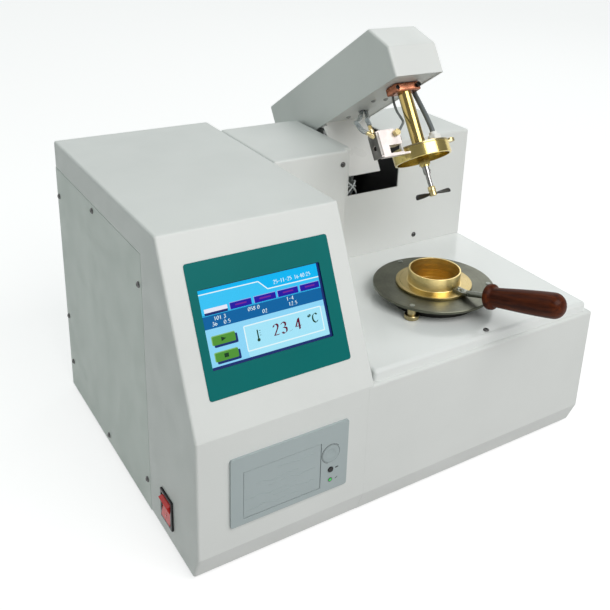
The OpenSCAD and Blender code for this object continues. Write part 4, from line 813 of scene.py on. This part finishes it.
def lobed(profile, lobes, depth, centre, sides=96):
    """A lathe whose radius changes round the turn by the depth times a cosine of the lobes; the
    third number of each profile row says how much of that change the row takes."""
    radius, height, share = np.asarray(profile, float).T[..., None]
    angle = full_turn(sides)
    return xyz(*spin(radius * (1 + depth * share * np.cos(lobes * angle)), 0, angle), height) + centre


fitting_rows = [
    (0, 0, 0), (4.1, 0, 0), (4.1, 2.1, 0), (6.4, 2.1, 0), (6.8, 2.5, 0), (6.8, 3.6, 0), (6.4, 4.0, 0),
    (6.1, 4.2, 1), (6.6, 4.8, 1), (6.6, 8.6, 1), (6.1, 9.4, 1), (4.6, 9.8, 0), (4.2, 10.4, 0), (4.2, 12.2, 0),
    (3.6, 12.9, 0), (2.7, 13.0, 0), (0, 13.0, 0)]
fitting = surface("fitting_nut", on_arm(lobed(fitting_rows, 6, 0.045, (*FITTING, DECK_Z))))
fit(fitting, "white_nylon", "arm", ["sensor_fitting"])

# %% [markdown]
# The stirrer's blades are thin dark paddles, twisted like a propeller: the section is a flat
# superellipse that turns about the blade's length from the hub to the tip. A brass hub with a
# set screw holds them on the shaft.

# %% Stirrer blades and hub
TIP_Z = rim_z - 44.0
BLADE_FROM, BLADE_TO, BLADE_REST = 3.0, 18.5, math.radians(-22)
BLADE_HALF_WIDTH, BLADE_HALF_THICKNESS = 3.6, 0.42


def blade(name, heading, rows=40, columns=36):
    """Along the blade the pitch grows from 22 to 46 degrees. The width grows too, and closes at
    the tip."""
    u = np.linspace(0, 1, rows)[:, None]
    reach = BLADE_FROM + (BLADE_TO - BLADE_FROM) * u
    width = BLADE_HALF_WIDTH * np.clip(0.62 + 1.0 * u, 0, 1.0) * np.clip(1 - u**22, 0, 1) ** 0.5
    across, thick = superellipse(full_turn(columns), 1.0, BLADE_HALF_THICKNESS, 0.7)
    side, height = spin(width * across, thick, np.radians(22 + 24 * u))
    grid = xyz(*spin(reach, side, heading), height)
    return surface(name, on_arm(capped(grid) + (cup_x, cup_y, TIP_Z + 1.6)))


blades = joined("blades_twisted", [blade(f"blade_{k}", BLADE_REST + math.pi * k) for k in (0, 1)])
fit(blades, "blade_steel", "stirrer", ["stirrer_blades"])
hub = lathe("stirrer_hub", [
    (2.55, -0.5), (3.4, -0.5), (3.9, 0.1), (3.9, 3.6), (3.3, 4.0), (3.3, 4.4), (3.9, 4.8), (3.9, 8.6),
    (3.5, 9.2), (2.55, 9.2), (2.55, -0.5)], (cup_x, cup_y, TIP_Z), sides=64, place=on_arm)
fit(hub, "knob_brass", "stirrer")


def sideways(angle):
    """A lean that lays an upright work down, pointing at this heading."""
    return ((0, -math.sin(angle), math.cos(angle)), (0, math.cos(angle), math.sin(angle)), (-1, 0, 0))


SET_SCREW = [(0, 0), (1.45, 0), (1.45, 3.1), (1.2, 3.4), (0.75, 3.4), (0.75, 2.6), (0, 2.6)]
SCREW_ANGLE, SCREW_REACH = math.radians(25), 3.2
screw_x, screw_y = np.array((cup_x, cup_y)) + spin(SCREW_REACH, 0, SCREW_ANGLE)
screws = joined("set_screws", [
    lathe(
        f"set_screw_{k}", SET_SCREW, (screw_x, screw_y, z),
        sides=32, place=on_arm, lean=sideways(SCREW_ANGLE))
    for k, z in enumerate((TIP_Z + 6, LID_FOOT_Z - 11.7))])
fit(screws, "black_screw", "stirrer")

# %% [markdown]
# The shutter is turned by an ear that sticks out past the lid's right side. A thick round button
# sits on its end.

# %% Button on the shutter's ear
EAR_ANGLE, EAR_REACH = math.radians(-10), 35.5
ear_x, ear_y = np.array((cup_x, cup_y)) + spin(EAR_REACH, 0, EAR_ANGLE)
ear = lathe(
    "shutter_ear", [(0, 0.2), (4.6, 0.2), (4.95, 0.6), (4.95, 3.6), (4.6, 4.0), (0, 4.0)],
    (ear_x, ear_y, DECK_Z), sides=64, place=on_arm)
fit(ear, "shutter_brass", "shutter")

# %% [markdown]
# The ignition block has a dark steel plate on its outer side, and two brass barbs where the hoses
# push on. The frame holds them in one solid with the block, so thin covers a tenth of a millimetre
# larger give them their own metal. The plate is a slab with a hole: a ring of points that runs
# round the plate's edge and back round the hole.

# %% Side plate and barbs of the ignition block
PLATE_X, PLATE_Y, PLATE_Z = (248.85, 252.05), (77.05, 92.3), (183.2, 208.4)
HOLE_RADIUS, HOLE_Y, HOLE_Z = 2.5, 84.95, 193.3


def plate_with_hole(columns=96):
    """Rows go out on one face from the hole to the edge, across the thickness, and back on the
    other face; the outer row is a superellipse so square that it is a rectangle."""
    angle = full_turn(columns) + np.pi / columns
    y0, z0 = (PLATE_Y[0] + PLATE_Y[1]) / 2, (PLATE_Z[0] + PLATE_Z[1]) / 2
    ey, ez = superellipse(angle, (PLATE_Y[1] - PLATE_Y[0]) / 2, (PLATE_Z[1] - PLATE_Z[0]) / 2, 0.12)
    hy, hz = spin(HOLE_RADIUS, 0, angle)
    rows = [(PLATE_X[0] + 0.3, 0.0), (PLATE_X[0], 0.05), (PLATE_X[0], 0.97), (PLATE_X[0] + 0.3, 1.0),
            (PLATE_X[1], 1.0), (PLATE_X[1], 0.0), (PLATE_X[0] + 0.3, 0.0)]
    return np.array([
        xyz(x, (1 - k) * (HOLE_Y + hy) + k * (y0 + ey), (1 - k) * (HOLE_Z + hz) + k * (z0 + ez))
        for x, k in rows])


side_plate = surface("block_cover_plate", on_arm(plate_with_hole()))
fit(side_plate, "block_side_plate", "arm")
BARB = [(0, -9.1), (2.7, -9.1), (2.75, -8.6), (2.75, -5.4), (2.4, -5), (1.7, -4.9), (1.7, -4.1), (2.25, -3.6),
        (1.65, -2), (2.25, -1.6), (1.65, 0.1), (0, 0.1)]
c, s = spin(1, 0, math.radians(55))
LEAN_LEFT = ((c, 0, -s), (0, 1, 0), (s, 0, c))
barbs = joined("hose_barbs", [
    lathe("barb_front", BARB, HOSE_FRONT[0], sides=40, place=on_arm, lean=LEAN_LEFT),
    lathe("barb_back", BARB, HOSE_BACK[0], sides=40, place=on_arm)])
fit(barbs, "knob_brass", "arm")

# %% [markdown]
# The display is a lit panel at the bottom of a shallow window. Its picture is built as real layers
# a few hundredths of a millimetre apart: header, tabs, a band, two keys and a framed reading. Each
# layer is a thin slab with rounded corners, drawn in the slope's own frame: across, up the slope and
# out of the face. Positions on the display are shares of its width and height, from the top left.

# %% The slope and the display's own frame
FOLD_HEIGHT, CASE_HEIGHT, SLOPE_SET = 141.0, 290.0, 72.0
slope = math.atan2(CASE_HEIGHT - FOLD_HEIGHT, SLOPE_SET)
panel_low, panel_high, _ = box_mm("display_panel")
SCREEN_LEFT, SCREEN_WIDTH = panel_low[0], panel_high[0] - panel_low[0]
SCREEN_FOOT, SCREEN_HEIGHT, SCREEN_LEVEL = 52.0, 65.0, -2.0


def on_slope(points):
    """(across, up the slope, out of the face) in millimetres to the frame."""
    x, y, z = axes(points)
    y, z = spin(y, z, slope)
    return on_case(xyz(x, y, FOLD_HEIGHT + z))


def on_screen(points):
    """Shares of the display (right, down) and a height over its face in millimetres."""
    x, y, z = axes(points)
    return on_slope(xyz(
        SCREEN_LEFT + x * SCREEN_WIDTH, SCREEN_FOOT + (1 - y) * SCREEN_HEIGHT, SCREEN_LEVEL + z))


def slab(name, outline, low, high, place):
    """A convex outline between two levels, with both faces drawn in to their middles."""
    x, y = np.asarray(outline, float).T
    return surface(name, place(capped(np.array([xyz(x, y, level) for level in (low, high)]))))


def round_box(left, top, right, bottom, corner=0.0, aspect=1.0):
    """Outline of a box with round corners; aspect is the width of a unit over its height."""
    if corner == 0:
        return [(left, top), (right, top), (right, bottom), (left, bottom)]
    tall = corner * aspect
    centres = [(right - corner, bottom - tall, 0), (left + corner, bottom - tall, 90),
               (left + corner, top + tall, 180), (right - corner, top + tall, 270)]
    return [
        (x + corner * c, y + tall * s)
        for x, y, start in centres for c, s in arc((0, 0), 1, start, start + 90, 6)]


# %% [markdown]
# A lit colour is emission with a little gloss of the display's front film. Fine noise in the colour
# stands for the panel's dots. The colours are those of a common touch screen: cyan, navy, pale blue
# and green.

# %% Display colours
def lit(name, colour, power=0.80):
    """Dotted light of one colour; the base is a fifth of that colour."""
    tree, shader = new_finish(name)
    dots = noise(tree, object_space(tree), 2500.0, 1.0)
    dim = tuple(0.2 * v for v in colour)
    dial(
        tree, shader, Emission_Color=clouded(tree, dots, colour, 0.06, 0.06), Emission_Strength=power,
        Base_Color=(*dim, 1), Roughness=0.22, Specular_IOR_Level=0.2)


SCREEN_COLOURS = {
    "sky": (0.0, 0.47, 0.90), "sky_low": (0.04, 0.55, 0.93), "white": (0.80, 0.95, 1.0),
    "tab": (0.018, 0.008, 0.36), "tab_edge": (0.32, 0.40, 0.80), "tab_pale": (0.80, 0.82, 0.95),
    "tab_mark": (0.17, 0.02, 0.33), "band": (0.002, 0.125, 0.36), "pale": (0.27, 0.68, 0.95),
    "paler": (0.38, 0.79, 0.97), "key": (0.085, 0.30, 0.04), "key_edge": (0.24, 0.50, 0.18),
    "shadow": (0.012, 0.03, 0.16), "ink": (0.012, 0.05, 0.02), "red": (0.13, 0.006, 0.03),
}
for key, colour in SCREEN_COLOURS.items():
    lit("display_" + key, colour)
print("display colours", len(SCREEN_COLOURS))

# %% [markdown]
# Figures are drawn with a broad pen: the stroke's two edges are the route plus and minus one fixed
# nib, so upright strokes come out thick and level ones thin, as in printed numerals. Each figure
# is a few listed points in a cell one wide and 1.8 high, smoothed unless it has corners.

# %% Pen strokes for figures
FIGURES = {
    "0": [[(0.5, 0.05), (0.1, 0.5), (0.1, 1.3), (0.5, 1.75), (0.9, 1.3), (0.9, 0.5), (0.5, 0.05)]],
    "1": [[(0.25, 1.5), (0.5, 1.72), (0.52, 1.0), (0.52, 0.06)]],
    "2": [[(0.14, 1.36), (0.3, 1.68), (0.66, 1.72), (0.86, 1.42), (0.72, 1.0), (0.14, 0.08)],
          [(0.12, 0.1), (0.9, 0.1)]],
    "3": [[(0.16, 1.5), (0.42, 1.75), (0.8, 1.55), (0.74, 1.1), (0.42, 0.95)],
          [(0.42, 0.95), (0.86, 0.78), (0.84, 0.25), (0.46, 0.03), (0.12, 0.28)]],
    "4": [[(0.66, 1.72), (0.1, 0.55)], [(0.08, 0.53), (0.95, 0.53)], [(0.68, 1.74), (0.68, 0.04)]],
    "5": [[(0.84, 1.7), (0.24, 1.7)], [(0.24, 1.7), (0.18, 1.0)],
          [(0.18, 0.98), (0.58, 1.1), (0.88, 0.7), (0.7, 0.15), (0.16, 0.12)]],
    "6": [[(0.78, 1.66), (0.3, 1.3), (0.12, 0.6), (0.4, 0.06), (0.82, 0.26), (0.8, 0.8), (0.45, 1.0),
           (0.16, 0.72)]],
    "8": [[(0.5, 0.95), (0.16, 1.32), (0.5, 1.74), (0.84, 1.32), (0.5, 0.95), (0.1, 0.48), (0.5, 0.04),
           (0.9, 0.48), (0.5, 0.95)]],
    "C": [[(0.88, 1.42), (0.55, 1.75), (0.14, 1.3), (0.14, 0.5), (0.55, 0.04), (0.88, 0.36)]],
    "o": [[(0.3, 1.28), (0.1, 1.5), (0.3, 1.74), (0.5, 1.5), (0.3, 1.28)]],
    "-": [[(0.15, 0.85), (0.85, 0.85)]],
    ":": [[(0.45, 0.4), (0.55, 0.52)], [(0.45, 1.2), (0.55, 1.32)]],
    ".": [[(0.0, 0.08), (0.34, 0.26)]],
}
CELL_HEIGHT = 1.8


def stroke(points, cell, nib, height, steps=7):
    """Edges of a pen line: route + nib and route - nib, at the foot and at the top of the ink. The
    ends are drawn in to a point."""
    route = smooth_route(points, steps) if len(points) > 2 else np.array(points, float)
    left, top, width, tall = cell
    x = left + route[:, 0] * width
    y = top + (1 - route[:, 1] / CELL_HEIGHT) * tall
    low, high = height
    corners = [(1, low), (1, high), (-1, high), (-1, low)]
    return capped(np.stack([xyz(x + side * nib[0], y + side * nib[1], z) for side, z in corners], axis=1))


def figures(name, text, left, top, width, tall, pen, height, gap=0.28, place=on_screen):
    """A row of figures: each cell starts one width and a gap after the last, a point takes less."""
    parts, x = [], left
    for sign in text:
        if sign != " ":
            for k, points in enumerate(FIGURES[sign]):
                grid = stroke(points, (x, top, width, tall), pen, height)
                parts.append(surface(f"{name}_{len(parts)}", place(grid)))
        x += width * ((0.45 if sign in ".:" else 1.0) + gap)
    return joined(name, parts)


# %% [markdown]
# Now the layers, from the lowest to the highest. Words that the real display shows are left out.
# Plain numbers, a triangle and a square on the keys and a small thermometer hold their places.

# %% Layers of the display
LAYER = 0.04       # height of one layer, millimetres


def layer(name, outlines, colour, level):
    """Slabs of one colour at one level become one piece."""
    low, high = level * LAYER, (level + 1) * LAYER
    parts = [slab(f"{name}_{k}", outline, low, high, on_screen) for k, outline in enumerate(outlines)]
    return fit(joined(name, parts), "display_" + colour, "cabinet")


def line(left, top, right, bottom, thick=0.006):
    """Outline of a thin bar between two points, with its thickness across."""
    dx, dy = (right - left) * SCREEN_WIDTH, (bottom - top) * SCREEN_HEIGHT
    size = math.hypot(dx, dy)
    nx, ny = -dy / size * thick, dx / size * thick * SCREEN_WIDTH / SCREEN_HEIGHT
    return [
        (left + nx, top + ny), (right + nx, bottom + ny), (right - nx, bottom - ny), (left - nx, top - ny)]


SQUEEZE = 1.7      # width of the display over its height, for round corners
TAB_TOP, TAB_FOOT = 0.238, 0.325
TABS = [(0.225, 0.40), (0.42, 0.60), (0.615, 0.79), (0.805, 0.975)]
LEFT, TOP, RIGHT, FOOT = 0.30, 0.575, 0.945, 0.89     # frame round the reading
FRAME_SIDES = [
    (LEFT, TOP, RIGHT, TOP), (LEFT, FOOT, RIGHT, FOOT), (LEFT, TOP, LEFT, FOOT), (RIGHT, TOP, RIGHT, FOOT)]
KEYS = [(0.04, 0.59, 0.225, 0.71), (0.04, 0.795, 0.225, 0.915)]
SHADOW_X, SHADOW_Y = 0.016, 0.03     # how far a key's shadow is set off
STEP_LINES = [(0.005, 0.066, 0.48, 0.068), (0.48, 0.068, 0.545, 0.185), (0.545, 0.186, 0.995, 0.19)]
DISPLAY = [
    ("header", "sky", 0, [round_box(0.005, 0.01, 0.995, 0.34)]),
    ("header_low", "sky_low", 1, [
        [(0.005, 0.07), (0.48, 0.07), (0.545, 0.185), (0.545, 0.34), (0.005, 0.34)],
        round_box(0.545, 0.19, 0.995, 0.34)]),
    ("header_lines", "white", 2, [line(*ends, 0.0038) for ends in STEP_LINES]),
    ("band", "band", 1, [round_box(0.005, 0.325, 0.995, 0.5)]),
    ("ground", "pale", 0, [round_box(0.005, 0.5, 0.995, 0.992)]),
    ("ground_light", "paler", 1, [round_box(0.30, 0.575, 0.985, 0.97, 0.02, SQUEEZE)]),
    ("foot_shadow", "shadow", 4, [round_box(0.0, 0.968, 1.0, 1.0), round_box(0.982, 0.0, 1.0, 1.0)]),
    ("tab_rims", "tab_edge", 2, [round_box(a, TAB_TOP, b, TAB_FOOT) for a, b in TABS]),
    ("tabs", "tab", 3, [round_box(a + 0.004, TAB_TOP + 0.008, b, TAB_FOOT) for a, b in TABS]),
    ("tab_open", "tab_pale", 2, [round_box(0.028, 0.25, 0.208, 0.30)]),
    ("tab_open_low", "shadow", 2, [round_box(0.028, 0.30, 0.208, 0.332)]),
    ("tab_marks", "tab_mark", 4, [
        round_box(a + 0.045, 0.272, b - 0.04, 0.292, 0.004, SQUEEZE) for a, b in TABS]),
    ("frame", "white", 3, [line(*ends, 0.004) for ends in FRAME_SIDES]),
    ("key_shadows", "shadow", 1, [
        round_box(l + SHADOW_X, t + SHADOW_Y, r + SHADOW_X, b + SHADOW_Y, 0.008, SQUEEZE)
        for l, t, r, b in KEYS]),
    ("key_rims", "key_edge", 2, [round_box(*key, 0.010, SQUEEZE) for key in KEYS]),
    ("keys", "key", 3, [round_box(l + 0.007, t + 0.012, r, b, 0.008, SQUEEZE) for l, t, r, b in KEYS]),
    ("key_marks", "ink", 4, [
        [(0.115, 0.622), (0.152, 0.65), (0.115, 0.678)], round_box(0.114, 0.832, 0.148, 0.882)]),
    ("thermometer", "ink", 3, [
        round_box(0.393, 0.655, 0.403, 0.78, 0.004, SQUEEZE),
        round_box(0.386, 0.765, 0.410, 0.806, 0.011, SQUEEZE), round_box(0.412, 0.67, 0.424, 0.676),
        round_box(0.412, 0.70, 0.420, 0.706), round_box(0.412, 0.73, 0.424, 0.736)]),
]
for label, colour, level, outlines in DISPLAY:
    layer("screen_" + label, outlines, colour, level)

PEN, SMALL_PEN, UNIT_PEN = (0.0076, -0.0050), (0.0023, -0.0022), (0.0062, -0.0034)
INK = (3 * LAYER, 4 * LAYER)
WHITE_ROWS = [("101.3", 0.09, 0.36), ("0.5", 0.16, 0.43), ("36", 0.07, 0.425), ("058.0", 0.36, 0.355),
              ("02", 0.47, 0.425), ("1-4", 0.68, 0.35), ("12.5", 0.69, 0.42)]
READING = [("23", 0.522), (".", 0.662), ("4", 0.708)]
clock = figures("screen_clock", "25-11-25 16:40:25", 0.60, 0.095, 0.0155, 0.052, SMALL_PEN, INK)
fit(clock, "display_white", "cabinet")
notes = joined("screen_notes", [
    figures(f"screen_note_{k}", text, x, y, 0.0165, 0.05, SMALL_PEN, INK)
    for k, (text, x, y) in enumerate(WHITE_ROWS)])
fit(notes, "display_white", "cabinet")
reading = joined("screen_reading", [
    figures(f"screen_reading_{k}", text, x, 0.645, 0.052, 0.15, PEN, INK, gap=0.26)
    for k, (text, x) in enumerate(READING)])
fit(reading, "display_red", "cabinet")
unit = figures("screen_unit", "oC", 0.822, 0.640, 0.050, 0.13, UNIT_PEN, INK, gap=-0.25)
fit(unit, "display_ink", "cabinet")

# %% [markdown]
# The paper door of the printer has fine embossed lines that wander across it, and two small marks
# stand beside the round key and the lamp. A line is a tube with a very flat section: its route
# is a straight run with one soft hump, placed differently on each line.

# %% Embossed lines of the printer
door_left = box_mm("printer_door")[0][0]
LINE_PLACE, LINE_RADIUS = -1.78, 0.38     # just inside the door's face
PAPER_WIDTH = 74.0     # the part of the door that is left of the buttons


def door_line(level, humps, left=3.0, right=3.0, points=120):
    """Height = level + the sum of humps, each a bell curve with its place, width and size."""
    x = np.linspace(left, PAPER_WIDTH - right, points)
    z = level + sum(size * np.exp(-(((x - place) / width) ** 2)) for place, width, size in humps)
    return xyz(door_left + x, LINE_PLACE, z)


DOOR_LINES = [
    (93.5, [(55, 5, -1.2)], 34, 4), (84.0, [(20, 4, 1.6), (30, 5, -1.4)], 14, 20),
    (78.5, [(44, 5, 1.8), (56, 4, -1.3)], 26, 3), (72.0, [(16, 4, 1.5), (26, 5, -1.6)], 4, 22),
    (66.5, [(50, 6, 1.6), (63, 4, -1.0)], 30, 3), (60.5, [(22, 5, 1.6), (33, 4, -1.4)], 4, 20)]
lines = joined("door_lines", [
    tube(f"door_line_{k}", door_line(*row), LINE_RADIUS, sides=8, across=(0, 0, 1))
    for k, row in enumerate(DOOR_LINES)])
fit(lines, "button_plastic", "printer_door")
(key_x, _, key_z), (lamp_x, _, lamp_z) = box_mm("feed_button")[2], box_mm("printer_lamp")[2]
button_low, button_high, (round_x, _, round_z) = box_mm("door_button")
ROUND_RADIUS = (button_high[0] - button_low[0]) / 2
PANEL_FACE = -2.2


def on_panel(points):
    """(across, up, out of the upright front) in millimetres to the frame."""
    x, y, z = axes(points)
    return on_case(xyz(x, PANEL_FACE - z, y))


def dash(name, x, z, length, rise, thick=0.6):
    """A thin slanted bar: its right end is higher than its left by the rise."""
    left, right, low, high = x - length / 2, x + length / 2, z - rise / 2, z + rise / 2
    outline = [(left, low - thick), (right, high - thick), (right, high + thick), (left, low + thick)]
    return slab(name, outline, -0.05, 0.04, on_panel)


marks = joined("panel_marks", [
    dash("mark_key", key_x + 6.6, key_z + 0.4, 3.2, 0.3),
    dash("mark_lamp", key_x + 6.4, lamp_z, 2.4, 1.4, 0.4)])
fit(marks, "dark_ink", "cabinet")


def face_ring(name, x, z, radius, thick, start=0, end=360):
    """A thin bead on the panel: part of a circle, swept by a small round section."""
    dx, dz = spin(radius, 0, np.radians(np.linspace(start, end, 48)))
    return tube(name, xyz(x + dx, z + dz, 0.0), thick, sides=8, across=(0, 0, 1), place=on_panel)


rings = joined("panel_rings", [
    face_ring("ring_lamp", lamp_x, lamp_z, 1.9, 0.32),
    face_ring("ring_button", round_x, round_z, ROUND_RADIUS + 0.25, 0.2, 40, 250)])
fit(rings, "dark_ink", "cabinet")
lens = lathe(
    "lamp_lens", [(0, -0.2), (1.7, -0.2), (1.7, 0.1), (1.2, 0.5), (0.6, 0.7), (0, 0.75)],
    (lamp_x, PANEL_FACE, lamp_z), sides=40, lean=FORWARD)
fit(lens, "lamp_green", "cabinet")

# %% [markdown]
# The rocker of the power switch is moulded in red plastic that glows from a lamp inside. The usual
# ring and bar are raised on its two faces. Each mark is placed on its face in the rocker's own
# flat frame: along the face and across it, a quarter of a millimetre proud.

# %% Marks of the rocker switch
ROCKER_AXIS = np.array((6.0, 63.5, 32.5))
ROCKER_TILT = math.radians(-7)
FACE_MID, FACE_END = (-1.0, 0.0), (-3.8, 10.1)


def on_rocker(points, side):
    """(across, along the face from the middle, out) to the frame; side is 1 for the upper face and
    -1 for the lower. The face leans out towards its end, and the whole rocker is tilted."""
    across, along, out = axes(points)
    lean = math.atan2(FACE_END[1] - FACE_MID[1], FACE_END[0] - FACE_MID[0])
    x, z = spin(along, out, lean)
    x, z = spin(FACE_MID[0] + x - ROCKER_AXIS[0], side * z, -ROCKER_TILT)
    return on_case(ROCKER_AXIS + xyz(x, across, z))


RING_RADIUS, RING_AT, BAR = 2.3, 5.6, (3.6, 7.6)
ring_x, ring_y = spin(RING_RADIUS, 0, np.linspace(0, 2 * np.pi, 40))
switch_marks = joined("rocker_marks", [
    tube("rocker_ring", xyz(ring_x, RING_AT + ring_y, 0.05), 0.28, sides=10, across=(0, 0, 1),
         place=lambda points: on_rocker(points, 1)),
    tube("rocker_bar", xyz(0.0, np.linspace(*BAR, 12), 0.05), 0.3, sides=10, across=(0, 0, 1),
         place=lambda points: on_rocker(points, -1))])
coated("switch_mark", (0.75, 0.62, 0.60), 0.4, 0.6, 0.01)
fit(switch_marks, "switch_mark", "rocker")

# %% [markdown]
# Behind the slot the arm's wiring shows: three pale leads that sag in the black well. At the back the
# inlet has three plated blades. Both are small, but they are what the eye looks for in an opening.

# %% Wires in the well and blades of the inlet
WELL_LEADS = [
    [(276.5, 213.5, 243), (281, 213.2, 239), (288, 214.5, 231), (293, 222, 220), (291, 240, 198),
     (284, 250, 180)],
    [(276.5, 214, 229), (281, 213.8, 233.5), (287, 215.5, 240), (291, 224, 238), (288, 242, 214),
     (282, 252, 178)],
    [(277, 216, 236), (284, 217, 236.5), (293, 222, 233), (297, 234, 222), (292, 248, 196), (285, 252, 178)]]
leads = joined("well_leads", [
    tube(f"well_lead_{k}", smooth_route(route, 10), 0.9) for k, route in enumerate(WELL_LEADS)])
fit(leads, "pale_wire", "cabinet")
_, inlet_high, (inlet_x, _, inlet_z) = box_mm("power_inlet")
PIN_PLACES = [(-7, 2), (7, 2), (0, -3)]
PIN_HALF_WIDTH, PIN_HALF_HEIGHT, PIN_FOOT, PIN_TIP = 1.1, 2.1, -17, -4.85


def inlet_pin(name, x, z, rows=10, columns=24):
    """A blade along Y: a boxy superellipse that narrows towards its tip."""
    share = np.linspace(0, 1, rows)[:, None]
    taper = 1 - 0.35 * np.clip((share - 0.8) / 0.2, 0, 1) ** 2
    a, b = superellipse(full_turn(columns), PIN_HALF_WIDTH, PIN_HALF_HEIGHT, 0.25)
    y = inlet_high[1] + PIN_FOOT + (PIN_TIP - PIN_FOOT) * share
    return surface(name, on_case(capped(xyz(x + taper * a, y, z + taper * b))))


pins = joined("inlet_blades", [
    inlet_pin(f"inlet_blade_{k}", inlet_x + x, inlet_z + z) for k, (x, z) in enumerate(PIN_PLACES)])
fit(pins, "inlet_pin", "cabinet")

# %% [markdown]
# The stage is a plain pale floor under soft light. Light Path makes the background white for the
# camera and through the clear hoses, while the light that it sheds stays lower: grey in front, paler
# and a little green behind, darker overhead. The floor adds some light of its own for the camera
# and for glossy surfaces, and still takes the shadow of the cabinet. What the metal mirrors is a
# bright room with a dim side behind the camera, which gives round brass its dark streaks.

# %% Floor, world and lamps
FLOOR_SIZE = 12.0
FLOOR_GREY, FLOOR_LIGHT = 0.45, 0.74


def seen_directly(tree):
    """Light Path, and 1 for rays from the camera and through glass, otherwise 0."""
    path = add(tree, "ShaderNodeLightPath").outputs
    return path, maths(tree, "MAXIMUM", path["Is Camera Ray"], path["Is Transmission Ray"])


def make_floor():
    """A flat square round the origin, in a finish that answers to the kind of ray."""
    t = np.linspace(-FLOOR_SIZE / 2, FLOOR_SIZE / 2, 5)
    floor = surface("floor", xyz(t[:, None], t, 0.0), wrap=False)
    if floor.data.polygons[0].normal.z < 0:
        floor.data.flip_normals()
    tree, shader = new_finish("floor_white")
    path, seen = seen_directly(tree)
    both = maths(tree, "MAXIMUM", seen, path["Is Glossy Ray"])
    dial(
        tree, shader, Base_Color=(FLOOR_GREY, FLOOR_GREY, FLOOR_GREY, 1), Roughness=0.9,
        Specular_IOR_Level=0.1, Emission_Color=(1, 1, 1, 1),
        Emission_Strength=maths(tree, "MULTIPLY", both, FLOOR_LIGHT))
    floor.data.materials.append(finishes["floor_white"])


def make_world():
    """White where it is seen directly, a room with a dim side in reflections, soft light elsewhere."""
    world = bpy.data.worlds.new("studio")
    bpy.context.scene.world = world
    world.use_nodes = True
    tree = world.node_tree
    around = add(tree, "ShaderNodeTexCoord").outputs["Generated"]
    parts = add(tree, "ShaderNodeSeparateXYZ", around).outputs
    low_sky = between(tree, parts["Y"], (0.36, 0.36, 0.35), (0.64, 0.78, 0.69), -0.5, 0.5)
    above = mix(tree, between(tree, parts["Z"], 0.0, 1.0, 0.1, 0.9), low_sky, (0.17, 0.215, 0.22, 1))
    dim_side = between(tree, parts["Y"], 0.25, 1.0, -0.92, -0.35)
    path, seen = seen_directly(tree)
    tinted = mix(tree, path["Is Glossy Ray"], above, dim_side)
    dial(tree, tree.nodes["Background"], Color=mix(tree, seen, tinted, (1, 1, 1, 1)), Strength=1.0)


def soft_box(name, place, target, width, height, power, colour=(1, 1, 1)):
    """An area lamp at a place in metres that faces a target."""
    lamp = bpy.data.lights.new(name, "AREA")
    lamp.shape = "RECTANGLE"
    lamp.size, lamp.size_y = width, height
    lamp.energy = power
    lamp.color = colour
    holder = bpy.data.objects.new(name, lamp)
    bpy.context.scene.collection.objects.link(holder)
    holder.location = place
    holder.rotation_euler = (Vector(target) - Vector(place)).to_track_quat("-Z", "Y").to_euler()
    return holder


make_floor()
make_world()
MIDDLE = (0.0, 0.0, 0.2)
soft_box("key", (0.30, -1.75, 1.95), MIDDLE, 2.0, 1.5, 44, (1.0, 0.985, 0.97))
soft_box("back_window", (1.6, 1.4, 1.6), MIDDLE, 0.9, 1.2, 3)
bpy.context.scene.view_settings.view_transform = "Standard"
